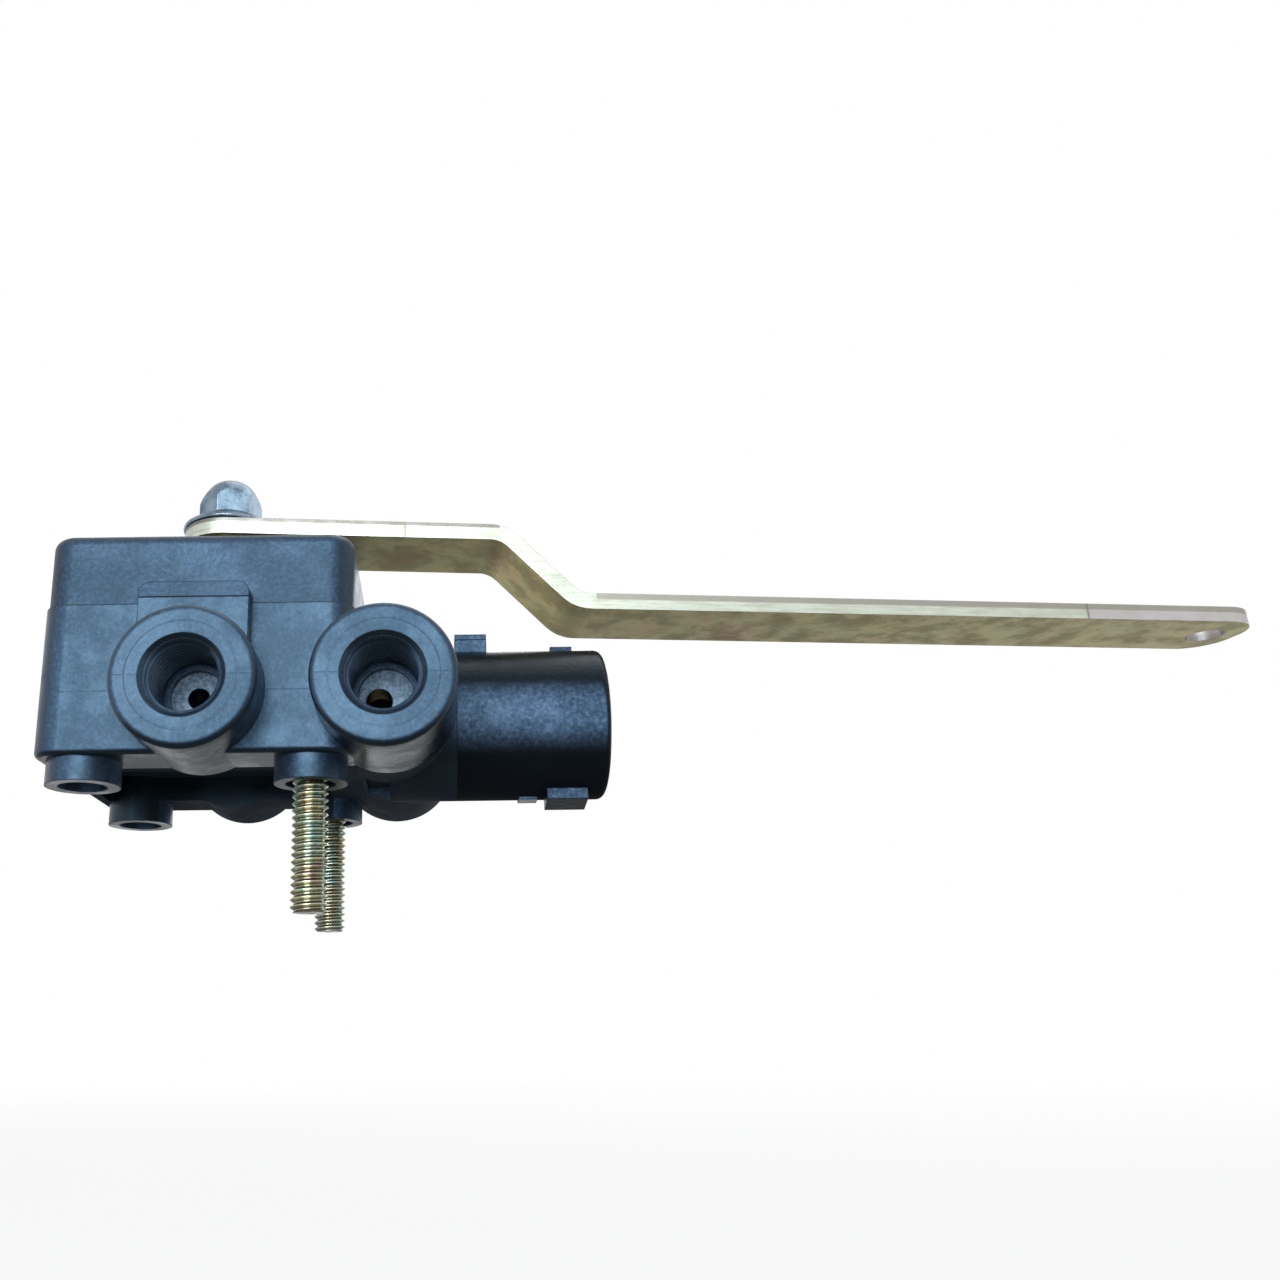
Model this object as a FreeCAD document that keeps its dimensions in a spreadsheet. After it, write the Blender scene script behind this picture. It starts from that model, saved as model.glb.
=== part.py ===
import FreeCAD, Part
import math
import os
import re
import Sketcher

# Air suspension levelling valve with an electric shut-off solenoid, in millimetres.
# X runs along the lever and the connector, Y from the front ports to the rear ports, Z up.
# The origin lies in the mounting plane, midway between the two studs. Shapes are drawn from the
# lever shaft's axis, and each piece is then moved so that the studs stand at X = 0.

os.makedirs("parts", exist_ok=True)
doc = FreeCAD.newDocument("levelling_valve")
sheet = doc.addObject("Spreadsheet::Sheet", "sizes")

SIZES = {
    # housing block
    "block_half_x": 28.0,
    "block_half_y": 27.2,
    "block_base": 4.3,
    "split_z": 31.5,
    "block_corner": 5.0,
    "block_edge": 1.0,
    # ports
    "port_z": 15.4,
    "port_left_x": 0.0,
    "port_right_x": 33.4,
    "port_r": 12.5,
    "port_face": 36.5,
    "port_edge": 1.2,
    "port_bore_r": 6.6,
    "port_mouth_r": 7.35,
    "port_bore_depth": 13.6,
    "port_shelf_r": 5.0,
    "port_shelf_depth": 15.0,
    "left_passage_r": 1.95,
    "right_passage_r": 2.35,
    "right_passage_dx": 1.3,
    "right_passage_dz": 0.9,
    # clip pad above the left port
    "pad_half_x": 9.7,
    "pad_out": 3.2,
    "pad_low": 18.0,
    "pad_rise": 2.9,
    "pad_corner": 2.0,
    # legs and underside
    "leg_half": 20.0,
    "leg_r": 6.5,
    "leg_hole_r": 4.25,
    "leg_hole_depth": 16.0,
    "stud_mouth_r": 4.45,
    "stud_pocket_depth": 5.0,
    "recess_half_x": 25.2,
    "recess_inset": 4.4,
    "recess_half_y": 15.3,
    "recess_top": 9.4,
    "gallery_wall_r": 8.0,
    "slot_half_x": 4.7,
    "slot_half_y": 7.0,
    "slot_depth": 2.0,
    # valve gallery
    "spool_bore_r": 4.0,
    "spool_bore_left": 18.0,
    "chamber_r": 6.0,
    "chamber_start": 14.0,
    "nose_r": 9.0,
    "nose_start": 26.0,
    "spigot_step": 3.05,
    "spigot_start": 39.5,
    "vent_x": 7.5,
    "vent_r": 1.5,
    # shaft well
    "well_r": 10.0,
    "well_floor": 23.0,
    "pin_clear_r": 4.4,
    "seal_ring_r": 13.0,
    "seal_wire_r": 1.0,
    "seal_groove_r": 1.05,
    "seal_groove_depth": 1.9,
    "seal_lift": 0.05,
    "seal_thin": 0.08,
    # cover
    "cover_inset": 0.4,
    "cover_top": 45.4,
    "cover_corner": 4.6,
    "cover_edge": 2.2,
    "collar_r": 11.0,
    "collar_top": 50.0,
    "cover_well_top": 37.0,
    "screw_from_side": 6.5,
    "screw_from_front": 6.7,
    "screw_r": 1.9,
    "screw_tip": 20.5,
    "screw_head_r": 3.5,
    "screw_head_z": 40.0,
    "screw_head_h": 2.8,
    "screw_socket_r": 1.6,
    "screw_socket_depth": 1.6,
    "screw_tip_gap": 0.3,
    "screw_gap": 0.3,
    "sink_gap": 0.4,
    "screw_point": 1.0,
    "screw_head_edge": 0.4,
    # lever shaft
    "shaft_r": 5.0,
    "neck_gap": 0.4,
    "thrust_collar_r": 7.5,
    "hub_r": 9.0,
    "hub_h": 4.0,
    "thrust_washer_h": 1.0,
    "thrust_gap": 0.3,
    "washer_gap": 0.2,
    "washer_step": 0.4,
    "crank_throw": 2.2,
    "crank_pin_r": 1.9,
    "crank_pin_low": 14.0,
    "bush_r": 6.5,
    "bush_top": 45.0,
    "bush_flange_r": 8.4,
    "bush_flange_h": 0.8,
    "lip_seal_r": 7.5,
    "lip_seal_low": 46.0,
    "lip_seal_h": 3.4,
    "lip_face": 1.0,
    "square_half": 3.4,
    "square_short": 0.3,
    "thread_r": 2.88,
    "thread_top": 64.6,
    "thread_edge": 0.5,
    # lever
    "lever_turn": 5.22,
    "lever_low": 53.5,
    "lever_t": 3.4,
    "lever_w": 18.0,
    "lever_back": 9.0,
    "lever_back_r": 8.9,
    "lever_bend": 55.2,
    "lever_drop": 14.6,
    "lever_bend_in": 5.0,
    "lever_tip": 219.0,
    "lever_tip_r": 7.5,
    "lever_hole_at": 212.0,
    "lever_hole_r": 3.75,
    # flange nut
    "nut_flange_r": 9.5,
    "nut_rim_h": 0.9,
    "nut_cone_h": 3.2,
    "nut_flat": 11.1,
    "nut_corner_z": 65.0,
    "nut_shoulder_z": 67.16,
    "nut_shoulder_r": 5.05,
    "nut_cap_edge": 0.4,
    "nut_cone_step": 0.3,
    "nut_top": 68.6,
    "nut_dome_r": 3.0,
    "nut_bore_top": 65.6,
    # mounting studs
    "stud_r": 3.175,
    "stud_out": 22.2,
    "stud_grip_r": 3.6,
    "stud_top": 17.2,
    "stud_end_gap": 0.2,
    "stud_chamfer": 0.6,
    # spool
    "spool_left": 13.0,
    "spool_right": 10.0,
    "spool_neck_r": 2.6,
    "spool_slot_half_y": 4.6,
    "spool_slot_low": 13.4,
    "spool_neck_start": -9.2,
    "spool_neck_end": -6.8,
    "spool_ring_left": -10.6,
    "spool_ring_mid": -5.4,
    "spool_ring_right": 6.2,
    # check valve
    "check_seat_x": 22.0,
    "check_seat_bore": 2.2,
    "check_disc_r": 4.2,
    "check_disc_h": 1.4,
    "check_stem_r": 1.3,
    "check_stem_len": 4.4,
    "check_spring_r": 2.6,
    "check_wire_r": 0.35,
    # solenoid
    "seat_body_right": 37.4,
    "seat_land_end": 29.3,
    "seat_ring_x": 27.8,
    "seat_neck_r": 6.4,
    "seat_bore_end": 34.0,
    "seat_orifice_r": 1.0,
    "seat_nose_r": 2.4,
    "seat_nose_len": 1.2,
    "seat_nose_edge": 0.6,
    "tube_in_r": 3.6,
    "tube_out_r": 4.2,
    "tube_flange_step": 1.05,
    "tube_flange_h": 1.0,
    "tube_end": 59.4,
    "core_start": 52.0,
    "armature_r": 3.5,
    "armature_start": 39.2,
    "armature_gap": 1.2,
    "tip_r": 2.6,
    "tip_h": 1.2,
    "tip_out": 0.5,
    "spring_pocket_r": 2.2,
    "spring_pocket_depth": 5.0,
    "armature_spring_r": 1.6,
    "armature_wire_r": 0.3,
    "bobbin_gap": 0.3,
    "bobbin_tube_r": 5.0,
    "bobbin_flange": 1.2,
    "bobbin_start": 47.9,
    "winding_step": 0.4,
    "yoke_cover": 3.3,
    "yoke_wall": 1.4,
    "yoke_start": 46.3,
    # connector housing
    "shell_r": 14.6,
    "shell_start": 46.0,
    "shell_end": 74.6,
    "shell_edge": 1.5,
    "web_start": 59.75,
    "web_end": 62.0,
    "socket_wall": 2.4,
    "socket_boss_r": 6.0,
    "socket_boss_end": 67.0,
    "spigot_wall": 2.95,
    "spigot_bore_end": 45.3,
    "spigot_ring_x": 43.0,
    "key_end": 52.2,
    "key_half_y": 5.5,
    "key_rise": 2.6,
    "lug_from_end": 4.0,
    "lug_length": 7.7,
    "lug_out": 1.7,
    "lug_half": 3.4,
    "top_lug_from_end": 5.2,
    "top_lug_length": 4.3,
    "top_lug_out": 0.95,
    "lug_turn": 8.0,
    "mark_start": 57.8,
    "mark_end": 61.4,
    "mark_out": 0.45,
    "mark_half": 2.0,
    "contact_half_y": 2.6,
    "contact_r": 0.8,
    "contact_point": 1.0,
    "contact_tip_step": 0.5,
    "contact_end": 71.5,
    # clearances
    "run_gap": 0.05,
    "slide_gap": 0.04,
    "pin_gap": 0.15,
    "seat_gap": 0.02,
    "ring_wire_r": 0.75,
    "ring_side": 0.25,
    "check_gap": 0.05,
}

for row, (word, size) in enumerate(SIZES.items(), start=1):
    sheet.set(f"A{row}", word)
    sheet.set(f"B{row}", str(size))
    sheet.setAlias(f"B{row}", word)
doc.recompute()

GALLERY = ("0", "0", "port_z")
SPIGOT_R = "shell_r - spigot_step"
YOKE_R = "shell_r - yoke_cover"
BOBBIN_R = "shell_r - yoke_cover - yoke_wall - bobbin_gap"
SCREW_PLACES = [(f"{side}(block_half_x - screw_from_side)", f"{end}(block_half_y - screw_from_front)")
                for end in ("-", "") for side in ("-", "")]
WORD = re.compile(r"[a-z][a-z_0-9]*")
FUNCTIONS = ("sin", "cos", "tan", "sqrt")


def link(text):
    """Points each size word of a formula at its cell."""
    def cell(match):
        word = match.group(0)
        return word if word in FUNCTIONS else "sizes." + word
    return WORD.sub(cell, str(text))


def new_body(label):
    body = doc.addObject("PartDesign::Body", label)
    body.Label = label
    return body


def plane(body, role):
    for item in body.Origin.OriginFeatures:
        if item.Role == role:
            return item


def new_sketch(body, name, role, offset=None):
    sketch = body.newObject("Sketcher::SketchObject", name)
    sketch.AttachmentSupport = [(plane(body, role), "")]
    sketch.MapMode = "FlatFace"
    if offset is not None:
        sketch.setExpression("AttachmentOffset.Base.z", link(offset))
    return sketch


def add_polygon(sketch, points):
    """Closed outline whose corners are held at formula coordinates."""
    count = len(points)
    places = []
    for index in range(count):
        angle = 2 * math.pi * index / count
        places.append(FreeCAD.Vector(10 * math.cos(angle), 10 * math.sin(angle), 0))
    first = sketch.GeometryCount
    for index in range(count):
        line = Part.LineSegment(places[index], places[(index + 1) % count])
        sketch.addGeometry(line, False)
    for index in range(count):
        following = first + (index + 1) % count
        sketch.addConstraint(Sketcher.Constraint("Coincident", first + index, 2, following, 1))
    for index, (across, up) in enumerate(points):
        for kind, formula, start in (("DistanceX", across, places[index].x), ("DistanceY", up, places[index].y)):
            number = sketch.addConstraint(Sketcher.Constraint(kind, -1, 1, first + index, 1, start))
            sketch.setExpression(f"Constraints[{number}]", link(formula))


def add_circle(sketch, across, up, radius):
    centre = FreeCAD.Vector(5, 5, 0)
    index = sketch.addGeometry(Part.Circle(centre, FreeCAD.Vector(0, 0, 1), 3), False)
    for kind, formula in (("DistanceX", across), ("DistanceY", up)):
        number = sketch.addConstraint(Sketcher.Constraint(kind, -1, 1, index, 3, 5))
        sketch.setExpression(f"Constraints[{number}]", link(formula))
    number = sketch.addConstraint(Sketcher.Constraint("Radius", index, 3))
    sketch.setExpression(f"Constraints[{number}]", link(radius))


def add_box(sketch, left, right, low, high):
    add_polygon(sketch, [(left, low), (right, low), (right, high), (left, high)])


def pad(body, sketch, length, both=False):
    feature = body.newObject("PartDesign::Pad", sketch.Name + "_pad")
    feature.Profile = sketch
    feature.Midplane = both
    feature.setExpression("Length", link(length))
    finish(body, feature)
    return feature


def pocket(body, sketch, length, both=False, back=False):
    feature = body.newObject("PartDesign::Pocket", sketch.Name + "_cut")
    feature.Profile = sketch
    feature.Midplane = both
    feature.Reversed = back
    feature.setExpression("Length", link(length))
    finish(body, feature)
    return feature


def revolve(body, sketch, axis, cut=False):
    kind = "PartDesign::Groove" if cut else "PartDesign::Revolution"
    feature = body.newObject(kind, sketch.Name + "_turn")
    feature.Profile = sketch
    feature.ReferenceAxis = (sketch, [axis])
    feature.Angle = 360
    finish(body, feature)
    return feature


def finish(body, feature):
    body.Tip = feature
    doc.recompute()


def dress(body, kind, chosen, size):
    """Rounds or chamfers the edges that the test picks on the newest shape."""
    base = body.Tip
    names = []
    for index, edge in enumerate(base.Shape.Edges, start=1):
        if chosen(edge):
            names.append(f"Edge{index}")
    feature = body.newObject("PartDesign::" + kind, f"{body.Name}_{kind}{len(body.Group)}")
    feature.Base = (base, names)
    size_name = "Radius" if kind == "Fillet" else "Size"
    feature.setExpression(size_name, link(size))
    finish(body, feature)


def value(text):
    """Present number of one size word."""
    return float(sheet.get(text))


def near(a, b):
    return abs(a - b) < 0.01


def is_upright(edge):
    box = edge.BoundBox
    return edge.Curve.TypeId == "Part::GeomLine" and box.XLength < 0.01 and box.YLength < 0.01


def is_round(edge, radius):
    return edge.Curve.TypeId == "Part::GeomCircle" and near(edge.Curve.Radius, radius)


def turned(label, axis, points, place=("0", "0", "0")):
    """One lathe part: each point is a distance along the axis and a radius."""
    body = new_body(label)
    sketch = new_sketch(body, label + "_profile", "XZ_Plane")
    if axis == "x":
        add_polygon(sketch, points)
        revolve(body, sketch, "H_Axis")
    else:
        add_polygon(sketch, [(radius, along) for along, radius in points])
        revolve(body, sketch, "V_Axis")
    put(body, place)
    return body


def ring(label, axis, along, middle_r, wire_r, place=("0", "0", "0")):
    """Round-section ring, one per list entry of along."""
    body = new_body(label)
    sketch = new_sketch(body, label + "_section", "XZ_Plane")
    for distance in along:
        if axis == "x":
            add_circle(sketch, distance, middle_r, wire_r)
        else:
            add_circle(sketch, middle_r, distance, wire_r)
    revolve(body, sketch, "H_Axis" if axis == "x" else "V_Axis")
    put(body, place)
    return body


def put(piece, place=("0", "0", "0")):
    """Moves a piece from the shaft's frame to the frame of the studs."""
    across, deep, up = place
    piece.setExpression("Placement.Base.x", link(f"{across} - leg_half"))
    piece.setExpression("Placement.Base.y", link(deep))
    piece.setExpression("Placement.Base.z", link(up))
    doc.recompute()


def tube(start, end, inner, outer):
    return [(start, inner), (end, inner), (end, outer), (start, outer)]


def housing():
    body = new_body("valve_body")
    sketch = new_sketch(body, "block", "XY_Plane", "block_base")
    add_box(sketch, "-block_half_x", "block_half_x", "-block_half_y", "block_half_y")
    pad(body, sketch, "split_z - block_base")
    dress(body, "Fillet", is_upright, "block_corner")
    base = value("block_base")
    dress(body, "Fillet", lambda edge: near(edge.BoundBox.ZMax, base), "block_edge")

    # pads that carry the cover clips, front and rear
    sketch = new_sketch(body, "clip_pads", "XY_Plane", "pad_low")
    add_box(sketch, "-pad_half_x", "pad_half_x", "-block_half_y - pad_out", "block_half_y + pad_out")
    pad(body, sketch, "split_z - pad_low")

    # port barrels run straight through from front to rear
    for name, across in (("left_barrel", "port_left_x"), ("right_barrel", "port_right_x")):
        sketch = new_sketch(body, name, "XZ_Plane")
        add_circle(sketch, across, "port_z", "port_r")
        pad(body, sketch, "2 * port_face", both=True)
    radius = value("port_r")
    face = value("port_face")
    dress(body, "Fillet", lambda edge: is_round(edge, radius) and near(abs(edge.Curve.Center.y), face),
          "port_edge")

    # solenoid barrel on the right
    sketch = new_sketch(body, "solenoid_barrel", "YZ_Plane", "port_right_x")
    add_circle(sketch, "0", "port_z", "shell_r")
    pad(body, sketch, "shell_start - port_right_x")

    # cored underside across the left barrel, with the gallery wall left standing
    sketch = new_sketch(body, "underside_recess", "XY_Plane")
    add_box(sketch, "-recess_half_x", "recess_half_x - recess_inset", "-recess_half_y", "recess_half_y")
    pocket(body, sketch, "recess_top", back=True)
    sketch = new_sketch(body, "gallery_wall", "YZ_Plane", "-recess_half_x")
    add_circle(sketch, "0", "port_z", "gallery_wall_r")
    pad(body, sketch, "recess_half_x + port_right_x")

    # four legs
    sketch = new_sketch(body, "legs", "XY_Plane")
    for across in ("-leg_half", "leg_half"):
        for deep in ("-leg_half", "leg_half"):
            add_circle(sketch, across, deep, "leg_r")
    pad(body, sketch, "recess_top + 1")
    sketch = new_sketch(body, "leg_holes", "XY_Plane")
    for deep in ("-leg_half", "leg_half"):
        add_circle(sketch, "-leg_half", deep, "leg_hole_r")
    pocket(body, sketch, "leg_hole_depth", back=True)
    sketch = new_sketch(body, "stud_mouths", "XY_Plane")
    for deep in ("-leg_half", "leg_half"):
        add_circle(sketch, "leg_half", deep, "stud_mouth_r")
    pocket(body, sketch, "stud_pocket_depth", back=True)
    sketch = new_sketch(body, "stud_grips", "XY_Plane")
    for deep in ("-leg_half", "leg_half"):
        add_circle(sketch, "leg_half", deep, "stud_grip_r + seat_gap")
    pocket(body, sketch, "stud_top + stud_end_gap", back=True)

    # port bores, stepped, with a chamfered mouth, and the passages behind them
    bore = value("port_bore_r")
    for end, sign in (("front", "1"), ("rear", "-1")):
        back = end == "rear"
        face_at = f"{sign} * port_face"
        for name, radius, depth in (("bore", "port_bore_r", "port_bore_depth"),
                                    ("shelf", "port_shelf_r", "port_shelf_depth")):
            sketch = new_sketch(body, f"{end}_{name}", "XZ_Plane", face_at)
            add_circle(sketch, "port_left_x", "port_z", radius)
            add_circle(sketch, "port_right_x", "port_z", radius)
            pocket(body, sketch, depth, back=back)
        sketch = new_sketch(body, f"{end}_left_passage", "XZ_Plane", face_at)
        add_circle(sketch, "port_left_x", "port_z", "left_passage_r")
        pocket(body, sketch, "port_face", back=back)
        sketch = new_sketch(body, f"{end}_right_passage", "XZ_Plane", face_at)
        add_circle(sketch, "port_right_x - right_passage_dx", "port_z - right_passage_dz", "right_passage_r")
        pocket(body, sketch, "port_face - nose_r + 1", back=back)
    dress(body, "Chamfer", lambda edge: is_round(edge, bore) and near(abs(edge.Curve.Center.y), face),
          "port_mouth_r - port_bore_r")

    # gallery for the spool, the check valve and the solenoid nose
    for name, start, end, radius in (("spool_bore", "-spool_bore_left", "chamber_start", "spool_bore_r"),
                                     ("check_chamber", "chamber_start", "nose_start", "chamber_r"),
                                     ("nose_bore", "nose_start", "spigot_start", "nose_r"),
                                     ("spigot_bore", "spigot_start", "shell_start", SPIGOT_R)):
        sketch = new_sketch(body, name, "YZ_Plane", start)
        add_circle(sketch, "0", "port_z", radius)
        pocket(body, sketch, f"{end} - ({start}) + 0.001", back=True)
    sketch = new_sketch(body, "vent", "XY_Plane")
    add_circle(sketch, "-vent_x", "0", "vent_r")
    pocket(body, sketch, "port_z", back=True)

    # shaft well, crank pin opening and cover ring groove, from the split face down
    for name, radius, depth in (("shaft_well", "well_r", "split_z - well_floor"),
                                ("pin_opening", "pin_clear_r", "split_z - port_z")):
        sketch = new_sketch(body, name, "XY_Plane", "split_z")
        add_circle(sketch, "0", "0", radius)
        pocket(body, sketch, depth)
    sketch = new_sketch(body, "ring_groove", "XY_Plane", "split_z")
    add_circle(sketch, "0", "0", "seal_ring_r + seal_groove_r")
    add_circle(sketch, "0", "0", "seal_ring_r - seal_groove_r")
    pocket(body, sketch, "seal_groove_depth")
    sketch = new_sketch(body, "screw_pilots", "XY_Plane", "split_z")
    for across, deep in SCREW_PLACES:
        add_circle(sketch, across, deep, "screw_r + seat_gap")
    pocket(body, sketch, "split_z - screw_tip + screw_tip_gap")

    # slot under the right port barrel
    sketch = new_sketch(body, "vent_slot", "XY_Plane", "port_z - port_r")
    add_box(sketch, "port_right_x - slot_half_x", "port_right_x + slot_half_x", "-slot_half_y", "slot_half_y")
    pocket(body, sketch, "slot_depth", back=True)
    put(body)
    return body


def cover():
    body = new_body("cover")
    sketch = new_sketch(body, "cap", "XY_Plane", "split_z")
    add_box(sketch, "-block_half_x + cover_inset", "block_half_x - cover_inset",
            "-block_half_y + cover_inset", "block_half_y - cover_inset")
    pad(body, sketch, "cover_top - split_z")
    dress(body, "Fillet", is_upright, "cover_corner")
    top = value("cover_top")
    dress(body, "Fillet", lambda edge: near(edge.BoundBox.ZMin, top), "cover_edge")

    # clip pads continue the ones on the housing, with rounded upper corners
    sketch = new_sketch(body, "cover_pads", "XY_Plane", "split_z")
    add_box(sketch, "-pad_half_x", "pad_half_x", "-block_half_y - pad_out", "block_half_y + pad_out")
    pad(body, sketch, "pad_rise")
    rise = value("split_z") + value("pad_rise")
    half = value("pad_half_x")

    def pad_corner(edge):
        box = edge.BoundBox
        return near(box.ZMin, rise) and near(box.ZMax, rise) and near(abs(box.XMin), half) and box.XLength < 0.01
    dress(body, "Fillet", pad_corner, "pad_corner")

    # collar around the shaft
    sketch = new_sketch(body, "collar", "XY_Plane", "cover_top - 1")
    add_circle(sketch, "0", "0", "collar_r")
    pad(body, sketch, "collar_top - cover_top + 1")

    # stepped bore: shaft well, bush seat and lip seal seat
    for name, start, end, radius in (("well", "split_z", "cover_well_top", "well_r"),
                                     ("bush_seat", "cover_well_top", "bush_top", "bush_r + seat_gap"),
                                     ("neck", "bush_top", "lip_seal_low", "shaft_r + neck_gap"),
                                     ("seal_seat", "lip_seal_low", "collar_top", "lip_seal_r + seat_gap")):
        sketch = new_sketch(body, "cover_" + name, "XY_Plane", start)
        add_circle(sketch, "0", "0", radius)
        pocket(body, sketch, f"{end} - {start} + 0.001", back=True)

    # screw holes with head counterbores
    for name, start, end, radius in (("screw_holes", "split_z", "screw_head_z + 1", "screw_r + screw_gap"),
                                     ("screw_sinks", "screw_head_z", "cover_top + 1", "screw_head_r + sink_gap")):
        sketch = new_sketch(body, name, "XY_Plane", start)
        for across, deep in SCREW_PLACES:
            add_circle(sketch, across, deep, radius)
        pocket(body, sketch, f"{end} - {start}", back=True)
    put(body)
    return body


def cover_screws():
    screws = []
    for number, (across, deep) in enumerate(SCREW_PLACES, start=1):
        screw = turned(f"cover_screw_{number}", "z", [
            ("screw_tip", "0"),
            ("screw_tip + screw_point", "screw_r"),
            ("screw_head_z", "screw_r"),
            ("screw_head_z", "screw_head_r"),
            ("screw_head_z + screw_head_h - screw_head_edge", "screw_head_r"),
            ("screw_head_z + screw_head_h", "screw_head_r - screw_head_edge"),
            ("screw_head_z + screw_head_h", "screw_socket_r"),
            ("screw_head_z + screw_head_h - screw_socket_depth", "screw_socket_r"),
            ("screw_head_z + screw_head_h - screw_socket_depth", "0"),
        ], place=(across, deep, "0"))
        screws.append(screw)
    return screws


def control_shaft():
    body = turned("control_shaft", "z", [
        ("well_floor + thrust_washer_h", "0"),
        ("well_floor + thrust_washer_h", "hub_r"),
        ("well_floor + thrust_washer_h + hub_h", "hub_r"),
        ("well_floor + thrust_washer_h + hub_h", "thrust_collar_r"),
        ("cover_well_top - bush_flange_h - thrust_gap", "thrust_collar_r"),
        ("cover_well_top - bush_flange_h - thrust_gap", "shaft_r"),
        ("lever_low", "shaft_r"),
        ("lever_low", "thread_r"),
        ("thread_top - thread_edge", "thread_r"),
        ("thread_top", "thread_r - thread_edge"),
        ("thread_top", "0"),
    ])
    sketch = new_sketch(body, "crank_pin", "XY_Plane", "crank_pin_low")
    add_circle(sketch, "0", "-crank_throw", "crank_pin_r")
    pad(body, sketch, "well_floor + thrust_washer_h + 0.5 - crank_pin_low")
    sketch = new_sketch(body, "square_drive", "XY_Plane", "lever_low - 1")
    turn = "lever_turn"
    corner = "square_half"
    points = []
    for x_sign, y_sign in ((-1, -1), (1, -1), (1, 1), (-1, 1)):
        points.append((f"{corner} * ({x_sign} * cos({turn}) - ({y_sign}) * sin({turn}))",
                       f"{corner} * ({x_sign} * sin({turn}) + ({y_sign}) * cos({turn}))"))
    add_polygon(sketch, points)
    pad(body, sketch, "lever_t + 1 - square_short")
    return body


def lever():
    body = new_body("lever")
    sketch = new_sketch(body, "lever_side", "XZ_Plane")
    step = "lever_t * tan(22.5)"
    add_polygon(sketch, [
        ("-lever_back", "lever_low"),
        ("lever_bend", "lever_low"),
        ("lever_bend + lever_drop", "lever_low - lever_drop"),
        ("lever_tip", "lever_low - lever_drop"),
        ("lever_tip", "lever_low - lever_drop + lever_t"),
        (f"lever_bend + lever_drop + {step}", "lever_low - lever_drop + lever_t"),
        (f"lever_bend + {step}", "lever_low + lever_t"),
        ("-lever_back", "lever_low + lever_t"),
    ])
    pad(body, sketch, "lever_w", both=True)
    low = value("lever_low")
    drop = value("lever_drop")
    thick = value("lever_t")

    def crosswise(edge, height, limit=150):
        box = edge.BoundBox
        inside = 0 < box.XMin < limit
        return edge.Curve.TypeId == "Part::GeomLine" and box.YLength > 1 and inside and near(box.ZMin, height)
    dress(body, "Fillet", lambda edge: crosswise(edge, low) or crosswise(edge, low - drop + thick),
          "lever_bend_in")
    dress(body, "Fillet", lambda edge: crosswise(edge, low + thick) or crosswise(edge, low - drop),
          "lever_bend_in + lever_t")
    back = -value("lever_back")
    tip = value("lever_tip")
    dress(body, "Fillet", lambda edge: is_upright(edge) and near(edge.BoundBox.XMin, back), "lever_back_r")
    dress(body, "Fillet", lambda edge: is_upright(edge) and near(edge.BoundBox.XMin, tip), "lever_tip_r")
    sketch = new_sketch(body, "lever_square", "XY_Plane", "lever_low")
    half = "square_half + run_gap"
    add_box(sketch, f"-({half})", half, f"-({half})", half)
    pocket(body, sketch, "2 * lever_t", both=True)
    sketch = new_sketch(body, "lever_hole", "XY_Plane", "lever_low - lever_drop")
    add_circle(sketch, "lever_hole_at", "0", "lever_hole_r")
    pocket(body, sketch, "3 * lever_t", both=True)
    body.Placement = FreeCAD.Placement(FreeCAD.Vector(), FreeCAD.Rotation(FreeCAD.Vector(0, 0, 1), 5))
    body.setExpression("Placement.Rotation.Angle", link("lever_turn"))
    put(body)
    return body


def flange_nut():
    low = "lever_low + lever_t"
    corner = "nut_flat / 2 / cos(30)"
    body = turned("flange_nut", "z", [
        (low, "0"),
        (low, corner),
        ("nut_corner_z", corner),
        ("nut_shoulder_z", "nut_shoulder_r"),
        ("nut_top - nut_cap_edge", "nut_dome_r"),
        ("nut_top", "0"),
    ])
    sketch = new_sketch(body, "nut_flats", "XY_Plane", low)
    add_circle(sketch, "0", "0", "nut_flange_r + 2")
    points = []
    for index in range(6):
        angle = 60 * index + 28
        points.append((f"{corner} * cos({angle})", f"{corner} * sin({angle})"))
    add_polygon(sketch, points)
    pocket(body, sketch, "nut_top", back=True)
    sketch = new_sketch(body, "nut_flange", "XZ_Plane")
    add_polygon(sketch, [
        ("0", low),
        ("nut_flange_r", low),
        ("nut_flange_r", f"{low} + nut_rim_h"),
        ("nut_flat / 2 - nut_cone_step", f"{low} + nut_cone_h"),
        ("0", f"{low} + nut_cone_h"),
    ])
    revolve(body, sketch, "V_Axis")
    sketch = new_sketch(body, "nut_bore", "XY_Plane", low)
    add_circle(sketch, "0", "0", "thread_r + run_gap")
    pocket(body, sketch, f"nut_bore_top - ({low})", back=True)
    return body


def stud(label, deep):
    return turned(label, "z", [
        ("-stud_out", "0"),
        ("-stud_out", "stud_r - stud_chamfer"),
        ("-stud_out + stud_chamfer", "stud_r"),
        ("stud_pocket_depth", "stud_r"),
        ("stud_pocket_depth", "stud_grip_r"),
        ("stud_top", "stud_grip_r"),
        ("stud_top", "0"),
    ], place=("leg_half", deep, "0"))


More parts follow.
